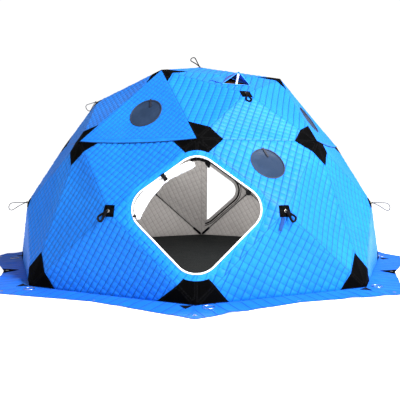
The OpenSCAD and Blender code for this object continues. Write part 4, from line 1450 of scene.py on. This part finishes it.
bindings = [carried(smooth_path([a, (a + b) / 2, b], 10), hood_z, oval(0.006, 0.006, 8))
            for a, b in ((left, peak), (peak, right), (left, right))]
solid("vent_hood_binding", *joined(bindings), [edge_blue], "hood")
mesh = bellied(on_hood(-HOOD_W / 2 + 0.012, 0.004, 0.001), on_hood(HOOD_W / 2 - 0.012, 0.004, 0.001),
               on_hood(0, HOOD_L - 0.02, 0.0005), 0.0012, 0.0015)
solid("vent_mesh", *mesh, [mesh_brown], "hood")
wing = bellied(on_hood(-HOOD_W / 2 - 0.002, 0.002, 0.003), on_hood(-0.085, 0.088, 0.068),
               on_hood(-HOOD_W / 2 - 0.100, 0.095, 0.003), 0.0022, -0.004)
solid("vent_wing", *wing, [wing_blue], "hood")
strut = carried([on_hood(0, 0.002, z) for z in np.linspace(0.001, 0.108, 9)], -hood_y,
                tape(0.022, 0.004), scale=lambda i: (1.0 + 0.12 * math.cos(i * 0.785), 1))
solid("vent_strut_bar", *strut, [strut_white], "strut", "vent_strut")
print("vent:", {k: v for k, v in triangles.items() if "vent" in k})

# %% [markdown]
# At each hub a bolt clamps the cloth: a dished metal washer, a black knob and a
# loop of webbing to pull the hub out by. Turned parts come from a profile spun
# round the hub's axis.

# %% Turned parts, metal and moulded plastic
def turned(at, axis, profile, count=28):
    axis = unit(axis)
    side = unit(np.cross(axis, [0.3, 0.9, 0.1]))
    other = np.cross(axis, side)
    points, faces = [], []
    for r, z in profile:
        for j in range(count):
            a = 2 * math.pi * j / count
            points.append(at + axis * z + r * (math.cos(a) * side + math.sin(a) * other))
    for i in range(0, (len(profile) - 1) * count, count):
        for j in range(count):
            n = (j + 1) % count
            faces.append([i + j, i + n, i + count + n, i + count + j])
    faces.append(list(range(count))[::-1])
    faces.append(list(range((len(profile) - 1) * count, len(profile) * count)))
    return points, faces


def metal(name, shade, light, rough, scale=60):
    f = Finish(name, Metallic=1.0)
    wear = f.between(f.noise(scale, 5), 0.4, 0.75)
    return f.to(Base_Color=f.mix(shade, light, wear), Roughness=rough + f.noise(scale * 3, 3) * 0.22,
                Normal=f.bump(f.noise(scale * 8, 2), 0.0002, 0.4))


def moulded(name, shade, light, rough):
    f = Finish(name, Specular_IOR_Level=0.5)
    scuff = f.between(f.noise(90, 5), 0.5, 0.8)
    return f.to(Base_Color=f.mix(shade, light, scuff), Roughness=rough + f.noise(45, 3) * 0.2,
                Normal=f.bump(f.noise(700, 2), 0.0003, 0.5))


washer_metal = metal("nickel_washer", (0.45, 0.42, 0.36), (0.72, 0.70, 0.64), 0.2)
knob_black = moulded("black_moulded_plastic", (0.006, 0.006, 0.007), (0.03, 0.03, 0.032), 0.38)
print("hub finishes:", washer_metal.material.name, "and", knob_black.material.name)

# %% [markdown]
# The hub's axis is square to its panel, and both turned parts stand on it.

# %% Washers and knobs
WASHER_SCALE, HUB_LIFT = 0.72, 0.0072
# Radius and height along the hub's axis
WASHER = [(0.005, -0.017), (0.005, -0.001), (0.0195, -0.0005), (0.0205, 0.0008), (0.0195, 0.0022),
          (0.0165, 0.0030), (0.0150, 0.0024), (0.0120, 0.0024), (0.0115, 0.0045), (0.004, 0.0046)]
KNOB = [(0.0035, 0.0040), (0.0105, 0.0042), (0.0112, 0.0062), (0.0105, 0.0088),
        (0.0080, 0.0112), (0.0045, 0.0124), (0.0012, 0.0128)]


def hub_axes(p):
    """A hub's base on the cloth, its panel's level direction and its way out."""
    x = unit(p[1] - p[0])
    out = unit(np.cross(x, unit((p[2] + p[3] - p[0] - p[1]) / 2)))
    return p[4] + out * HUB_LIFT, x, out


washers, knobs = [], []
for p in panels.values():
    base, _, out = hub_axes(p)
    washers.append(turned(base, out, [(r * WASHER_SCALE, z) for r, z in WASHER]))
    knobs.append(turned(base, out, KNOB))
solid("hub_washers", *joined(washers), [washer_metal], "bolt", "hub_bolts", smooth_angle=35)
solid("hub_knobs", *joined(knobs), [knob_black], "bolt", smooth_angle=35)
print(len(knobs), "hubs with washer and knob")

# %% [markdown]
# A loop is a teardrop of webbing that leans out from its hub and droops under
# its own weight. Those on the front are broad and black, and the ones seen edge
# on at the sides are a paler cord. One table says how each kind leans.

# %% Pull loops
# One side of a loop, as distance from the hub and half breadth
LOOP = [(0.006, 0.0), (0.030, 0.006), (0.060, 0.014), (0.088, 0.023),
        (0.108, 0.026), (0.122, 0.017), (0.127, 0.0)]
LOOP_STEPS, LOOP_MIDDLE, DROOP = 44, 0.085, 0.9
DOWN = np.array([0, 0, -1.0])
pale_loops, loops = [], []


def loop_form(name, x, out):
    """A loop's lean, the way it spreads, its length, breadth, tape and the list it joins."""
    upright = unit(np.cross(x, out))
    if name == "roof_crown":
        lean = unit(np.array([-0.62, -0.1, 0.78]))
        return lean, np.array([0.72, 0.25, 0.6]), 1.15, 1.1, (0.016, 0.0085), loops
    if name in (WALL_NAMES[0], WALL_NAMES[7]):
        aside = 0.60 if name == WALL_NAMES[0] else -0.60
        return unit(0.30 * out + 0.75 * DOWN + aside * x), x, 0.78, 1.0, (0.022, 0.0150), loops
    if "wall" in name:
        return unit(0.85 * out + 0.40 * DOWN), upright, 1.35, 1.3, (0.013, 0.0080), pale_loops
    if name in ("roof_left", "roof_right"):
        return unit(0.60 * out + 0.75 * DOWN), upright, 0.95, 1.3, (0.013, 0.0080), pale_loops
    lean = unit(0.42 * out + 0.75 * DOWN - 0.1 * np.cross(out, x))
    return lean, x, 0.78, 1.0, (0.018, 0.0130), loops


for name, p in panels.items():
    base, x, out = hub_axes(p)
    lean, across, length, broad, webbing, found = loop_form(name, x, out)
    across = unit(across - (across @ lean) * lean)
    plane_out = np.cross(lean, across)
    shape = [(s * length, w * broad) for s, w in LOOP]
    strand = shape + [(s, -w) for s, w in shape[::-1][1:]]
    path = smooth_path([base + out * 0.006 + lean * s + across * w + DOWN * DROOP * s * s
                        for s, w in strand], LOOP_STEPS)
    middle = base + lean * LOOP_MIDDLE * length
    ways = [unit(q - middle - ((q - middle) @ plane_out) * plane_out) for q in path]
    found.append(carried(path, ways, tape(*webbing)))
    neck = [base + out * 0.004 + lean * s for s in (0.004, 0.012, 0.022)]
    loops.append(carried(neck, plane_out, oval(0.013, 0.010, 8)))
solid("pull_loops_webbing", *joined(loops), [webbing_black], "webbing", "pull_loops")
loop_grey = woven_black("grey_cord", (0.10, 0.10, 0.11), (0.16, 0.16, 0.17), 0.6, rows=False)
solid("pull_loops_pale", *joined(pale_loops), [loop_grey], "webbing")
print(len(panels), "pull loops,", len(pale_loops), "of them pale")

# %% [markdown]
# A short navy tie hangs below a wall hub beside each doorway. It is a flat tape
# that lies on the cloth and lifts a little along its length.

# %% Ties below two hubs
TIE_START, TIE_RUN = (-0.026, -0.050), (-0.034, -0.105)
TIE_LIFTS = [0.0125, 0.0135, 0.0145, 0.015, 0.0145, 0.0142, 0.0145, 0.0155]
navy = sheeny("navy_tie_cloth", (0.003, 0.035, 0.17), (0.006, 0.05, 0.22), 0.6)
hub_ties = []
for name in (WALL_NAMES[0], WALL_NAMES[4]):
    f = by_panel[name][0]
    start = f.flat(panels[name][4])[0] + TIE_START
    q = start + np.outer(np.linspace(0, 1, len(TIE_LIFTS)), TIE_RUN)
    hub_ties.append(carried(f.raised(q) + np.outer(TIE_LIFTS, f.out), f.out, tape(0.034, 0.0028)))
solid("hub_ties", *joined(hub_ties), [navy], "webbing")
print(len(hub_ties), "ties")

# %% [markdown]
# Inside, every pole ends in a sewn sleeve at the corner of its panel. The sleeve
# is a flattened tube that narrows to the pole, with a folded end.

# %% Sewn pole sleeves
POLE_INSET, SLEEVE_START, SLEEVE_END = 0.012, 0.020, 0.180
SLEEVE_GIRTH = [0.5, 0.9, 1.05, 1.0, 1.03, 0.98, 1.02, 0.97, 1.0, 0.96, 0.9, 0.72]
sleeves = []
for name, p in panels.items():
    for i in range(4):
        along = unit(p[i] - p[4])
        inward = -unit(by_panel[name][i].out + by_panel[name][i - 1].out)
        path = [p[i] - d * along + POLE_INSET * inward
                for d in np.linspace(SLEEVE_START, SLEEVE_END, len(SLEEVE_GIRTH))]
        sleeves.append(carried(path, -inward, oval(0.034, 0.0215, 12, -0.0005),
                               scale=lambda s: (SLEEVE_GIRTH[s], min(1, SLEEVE_GIRTH[s] + 0.05))))
solid("pole_sleeves", *joined(sleeves), [webbing_black], "webbing", "pole_pockets")
print(len(sleeves), "sleeves")

# %% [markdown]
# The snow skirt lies on the ground round the shelter in an eight-pointed star,
# notched between the points. A level sheet can be sewn by the same helper as
# the shell, once it has a plane of its own. It waves a little where nothing
# holds it, and lies flat at its eyelets and patches.

# %% A level plane, and places on the skirt
class Level(Facet):
    """A plane on the ground that reaches past every edge of the sheets on it."""
    def __init__(self):
        self.panel, self.corners = "level", [np.zeros(3)]
        self.out, self.x, self.y = np.eye(3)[[2, 0, 1]]
        self.flat_corners = np.array([[-20.0, -10.0], [20.0, -10.0], [0.0, 30.0]])
        self.patches, self.door, self.window, self.number = [], None, None, 0


level = Level()
SKIRT_R, NOTCH_R, EYELET_CORNER_R, EYELET_NOTCH_R = 2.390, 2.100, 2.302, 2.068
half_turn = math.radians(WALL_TURN / 2)
SKIRT_IN = GROUND_R * math.cos(half_turn) + 0.0040


def folded_place(q):
    """Radius and angle from the nearest corner direction, and which way round it lies."""
    r, a = np.hypot(q[:, 0], q[:, 1]), np.arctan2(q[:, 0], -q[:, 1])
    turn = (a + half_turn) % (2 * half_turn) - half_turn
    return r, np.abs(turn), np.sign(turn)


def skirt_edges(q):
    """Distance in from the skirt's outer edge and out from its inner edge."""
    r, a, _ = folded_place(q)
    u, v = r * np.cos(a), r * np.sin(a)
    tip = np.array([SKIRT_R, 0])
    dent = NOTCH_R * np.array([math.cos(half_turn), math.sin(half_turn)])
    along = unit(dent - tip)
    return -((u - tip[0]) * along[1] - (v - tip[1]) * along[0]), r * np.cos(half_turn - a) - SKIRT_IN


def turned_points(radius, start=0.0):
    return [spot(radius, WALL_TURN * (k + start), 0)[:2] for k in range(WALLS)]


corners, notches = turned_points(SKIRT_R), turned_points(NOTCH_R, 0.5)
print("the skirt reaches", round(SKIRT_R - GROUND_R, 3), "m past a corner")

# %% [markdown]
# Seams cross the skirt at an even spacing, square to the foot of the wall. A row
# of numbers in the mesh tells the finish where they are, as on the walls.

# %% The snow skirt
SKIRT_SEAM, SKIRT_STEP, EYELET_R = 0.098, 0.024, 0.0088
SKIRT_TOP, SKIRT_BOTTOM, HEM_T = 0.0036, 0.0006, 0.0012
# Where the skirt lies flat: eyelet at a corner, patch in a notch, foot of a tab,
# each with its place, its still radius and the width over which waves begin
STILL = ((EYELET_CORNER_R, 0, 0.05, 0.12),
         (NOTCH_R * math.cos(half_turn), NOTCH_R * math.sin(half_turn), 0.17, 0.10),
         (2.10, 0.095, 0.07, 0.06))


def skirt_wave(q):
    r, a, _ = folded_place(q)
    u, v = r * np.cos(a), r * np.sin(a)
    still = ease(skirt_edges(q)[1], 0.06)
    for x, y, radius, width in STILL:
        still = still * ease(np.hypot(u - x, v - y) - radius, width)
    return 0.014 * still * np.clip(uneven(q, 6, 0.4) + 0.4 * uneven(q, 17, 2.4) + 0.12, 0, 1)


def skirt_marks(f, q):
    r, a, way = folded_place(q)
    x = r * np.sin(half_turn - a) * way
    return np.column_stack([x / SKIRT_SEAM + 0.5, np.full(len(q), 0.5), np.minimum(*skirt_edges(q))])


hole_places = np.array(turned_points(EYELET_CORNER_R) + turned_points(EYELET_NOTCH_R, 0.5))
holes = [circle_line(c, EYELET_R, 20) for c in hole_places]


def off_holes(q):
    return np.min(np.linalg.norm(q[:, None] - hole_places[None], axis=2), axis=1) > EYELET_R - 1e-4


def star(points, step):
    return np.array(closed_line(points, step))


skirt_blue = quilted("skirt_blue_oxford", (0.001, 0.03, 0.15), (0.004, 0.130, 0.70), (0.008, 0.17, 0.78),
                     0.95, 0.0, 0.45, (0.085, 0.05))
outline = [p for pair in zip(corners, notches) for p in pair]
inner_line = turned_points(SKIRT_IN / math.cos(half_turn))
grid = grid_over((-2.4, -2.4), (2.4, 2.4), SKIRT_STEP)
skirt = Cloth()
skirt.add(level, [star(outline, SKIRT_STEP), star(inner_line, SKIRT_STEP)] + holes, grid,
          lambda q: (np.minimum(*skirt_edges(q)) > 1e-7) & off_holes(q),
          lambda f, q: SKIRT_TOP + HEM_T * (1 - ease(skirt_edges(q)[0] - 0.018, 0.006)) + skirt_wave(q),
          lambda f, q: SKIRT_BOTTOM + skirt_wave(q), SKIRT_STEP, skirt_marks)
made = skirt.build("snow_skirt", [skirt_blue, skirt_blue], "skirt", "skirt")
print("skirt", round(made["cut_area"], 2), "m2")

# %% [markdown]
# Six of the eight notches have a black kite of nylon under their eyelet, sewn
# from two triangles that meet on the notch's own line. The two at the front
# have the eyelet alone.

# %% Patches in the skirt's notches
PAD_IN, PAD_SIDE, PAD_TOP, PAD_BOTTOM, PAD_STEP = 0.140, 0.120, 0.0066, 0.0044, 0.02
pads = Cloth()
for k in range(1, WALLS - 1):
    n = notches[k]
    inner = n - PAD_IN * unit(n)
    before, after = (n + PAD_SIDE * unit(corners[i % WALLS] - n) for i in (k, k + 1))
    halves = [np.array([n, after, inner]), np.array([n, inner, before])]

    def pad_edge(q, halves=halves):
        return np.minimum(*[triangle_distance(t, q) for t in halves])
    pads.add(level, [star([n, after, inner, before], PAD_STEP), holes[WALLS + k]],
             grid[np.linalg.norm(grid - n, axis=1) < 0.2],
             lambda q: (pad_edge(q) < 1e-7) & off_holes(q),
             lambda f, q: np.full(len(q), PAD_TOP), lambda f, q: np.full(len(q), PAD_BOTTOM), PAD_STEP,
             lambda f, q: np.column_stack([q, -pad_edge(q)]))
pads.build("skirt_patch_nylon", [patch_black, patch_black], "patch", "skirt_patches")
print("notch patches:", triangles["skirt_patch_nylon"], "triangles")

# %% [markdown]
# The floor is one sheet cut to the octagon of the walls and coloured near-black:
# partly its own charcoal, partly painted shade, darkened against the light that
# the lamp inside throws on it. It crumples a little in the middle and is held
# flat round its edge.

# %% The floor sheet
# Near-black floor colour: charcoal cloth with painted shade, to cancel the inside lamp's light on it.
floor_dark_and_shaded = woven_black("charcoal_and_shaded_floor_cloth", (0.010, 0.0112, 0.0115), (0.017, 0.0185, 0.019), 0.6,
                         rows=False)
FLOOR_R, FLOOR_STEP, FLOOR_TOP, FLOOR_BOTTOM = GROUND_R - 0.002, 0.035, 0.0018, 0.0004
floor_reach = FLOOR_R * math.cos(half_turn)


def floor_edge(q):
    """Distance in from the octagon's nearest side."""
    r, a, _ = folded_place(q)
    return floor_reach - r * np.cos(half_turn - a)


def crumple(q):
    return 0.004 + 0.004 * uneven(q, 3, 8) + 0.0025 * uneven(q, 11, 9)


floor = Cloth()
floor.add(level, [star(turned_points(FLOOR_R), FLOOR_STEP)],
          grid_over((-2.1, -2.1), (2.1, 2.1), FLOOR_STEP), lambda q: floor_edge(q) > 0,
          lambda f, q: FLOOR_TOP + crumple(q) * ease(floor_edge(q), 0.1),
          lambda f, q: np.full(len(q), FLOOR_BOTTOM), FLOOR_STEP,
          lambda f, q: np.column_stack([q, np.full(len(q), 0.1)]))
made = floor.build("floor_cloth", [floor_dark_and_shaded, floor_dark_and_shaded], "floor", "floor_sheet")
print("floor", round(2 * floor_reach, 3), "m across")

# %% [markdown]
# At each ground corner a small three-cornered tab of webbing sticks out over
# the skirt and carries a pegging ring.

# %% Webbing tabs at the ground corners
TAB_SIDE, TAB_W, TAB_L, TAB_LIFT = 0.072, 0.100, 0.085, 0.0058
tabs = []
for k in range(WALLS):
    radial, across = unit(spot(1, WALL_TURN * k, 0)), unit(spot(1, WALL_TURN * k + 90, 0))
    root = radial * (GROUND_R + 0.009) + np.array([0, 0, TAB_LIFT])
    tabs.append(bellied(root - across * (TAB_SIDE + TAB_W / 2), root + radial * TAB_L - across * TAB_SIDE,
                        root - across * (TAB_SIDE - TAB_W / 2), 0.0024, 0.0008, 6))
solid("ground_tab_webbing", *joined(tabs), [webbing_black], "webbing", "ground_tabs")
print(len(tabs), "tabs")

# %% [markdown]
# The poles, brackets, eyelets and rings stay as the CAD made them. They only
# need a finish: glass fibre with a faint lengthwise grain, moulded nylon, and
# two metals.

# %% Finishes for the CAD nodes that show
glass_fibre = coated("black_glass_fibre", (0.008, 0.008, 0.009), (0.03, 0.03, 0.033), 0.3,
                     900, 0.0002, 0.3)
CAD_FINISHES = {
    "wall_poles": glass_fibre, "roof_poles": glass_fibre,
    "hub_brackets": moulded("black_bracket_nylon", (0.007, 0.007, 0.008), (0.025, 0.025, 0.027), 0.45),
    "eyelets": metal("nickel_eyelet", (0.50, 0.49, 0.46), (0.78, 0.77, 0.74), 0.18),
    "peg_rings": metal("zinc_ring_steel", (0.55, 0.55, 0.54), (0.85, 0.85, 0.84), 0.22)}
for node_name, finish in CAD_FINISHES.items():
    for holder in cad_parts[node_name].material_slots:
        holder.material = finish.material
print("triangles added:", sum(triangles.values()))
print("largest piece:", max(triangles, key=triangles.get), max(triangles.values()))

# %% [markdown]
# One large soft lamp from the front right and a weak one from the left give the
# cloth its change of tone from facet to facet. Thin cloth lets daylight in, so
# a soft lamp inside stands for that. The room is white to the camera and dimmer
# as a light, and the floor glows a little, so that both read as one pale ground.

# %% Lamps
def lamp(name, kind, energy, size, place, aim):
    data = bpy.data.lights.new(name, kind)
    data.energy = energy
    setattr(data, "size" if kind == "AREA" else "shadow_soft_size", size)
    made = bpy.data.objects.new(name, data)
    made.location = place
    made.rotation_euler = (Vector(aim) - Vector(place)).to_track_quat("-Z", "Y").to_euler()
    made.visible_camera = False
    bpy.context.scene.collection.objects.link(made)


lamp("key", "AREA", 1750, 3.5, (4.6, -5.0, 6.0), (0, 0, 0.9))
lamp("fill", "AREA", 60, 5.0, (-4.5, -6.5, 2.5), (0, 0, 0.9))
lamp("daylight_inside", "POINT", 150, 0.5, (0.2, -0.3, 1.35), (0, 0, 0))
print("lamps:", [d.name for d in bpy.data.lights])

# %% [markdown]
# The room's brightness depends on who looks: a map range picks one strength for
# camera rays and another for light.

# %% The room and the floor
ROOM_LIGHT, ROOM_SEEN, FLOOR_GLOW, SPAN, FLOOR_Z = 0.42, 1.05, 0.75, 30.0, -0.001
room = bpy.data.worlds.new("pale_room")
bpy.context.scene.world = room
room.use_nodes = True
nodes, links = room.node_tree.nodes, room.node_tree.links
seen, strength = nodes.new("ShaderNodeLightPath"), nodes.new("ShaderNodeMapRange")
strength.inputs["To Min"].default_value, strength.inputs["To Max"].default_value = ROOM_LIGHT, ROOM_SEEN
links.new(seen.outputs["Is Camera Ray"], strength.inputs["Value"])
links.new(strength.outputs[0], nodes["Background"].inputs["Strength"])
nodes["Background"].inputs["Color"].default_value = (1, 1, 1, 1)
pale = coated("pale_studio_floor", (0.86, 0.86, 0.86), (0.84, 0.84, 0.84), 0.8, 90, 0.0001, 0.0)
pale.shader.inputs["Emission Color"].default_value = (1, 1, 1, 1)
pale.shader.inputs["Emission Strength"].default_value = FLOOR_GLOW
ground_mesh = bpy.data.meshes.new("studio_floor")
ground_mesh.from_pydata([(x * SPAN, y * SPAN, FLOOR_Z) for x, y in ((-1, -1), (1, -1), (1, 1), (-1, 1))],
                        [], [(0, 1, 2, 3)])
ground_mesh.materials.append(pale.material)
studio_floor = bpy.data.objects.new("studio_floor", ground_mesh)
bpy.context.scene.collection.objects.link(studio_floor)
print("studio floor", 2 * SPAN, "m across")

# %% [markdown]
# The camera stands about six metres from the middle, level and a metre up, a
# touch right of the front corner. A small downward shift frames the shelter without
# tilting the camera, so that upright lines stay upright.

# %% Camera
camera = bpy.data.objects.new("camera", bpy.data.cameras.new("camera"))
camera.location = (0.0795, -5.781, 1.0174)
camera.rotation_euler = (math.radians(89.92), 0, math.radians(0.741))
camera.data.lens, camera.data.sensor_width, camera.data.shift_y = 45.18, 36, -0.0753
camera.data.clip_end = 200
bpy.context.scene.collection.objects.link(camera)
bpy.context.scene.camera = camera
print("camera at", [round(c, 3) for c in camera.location])

# %% [markdown]
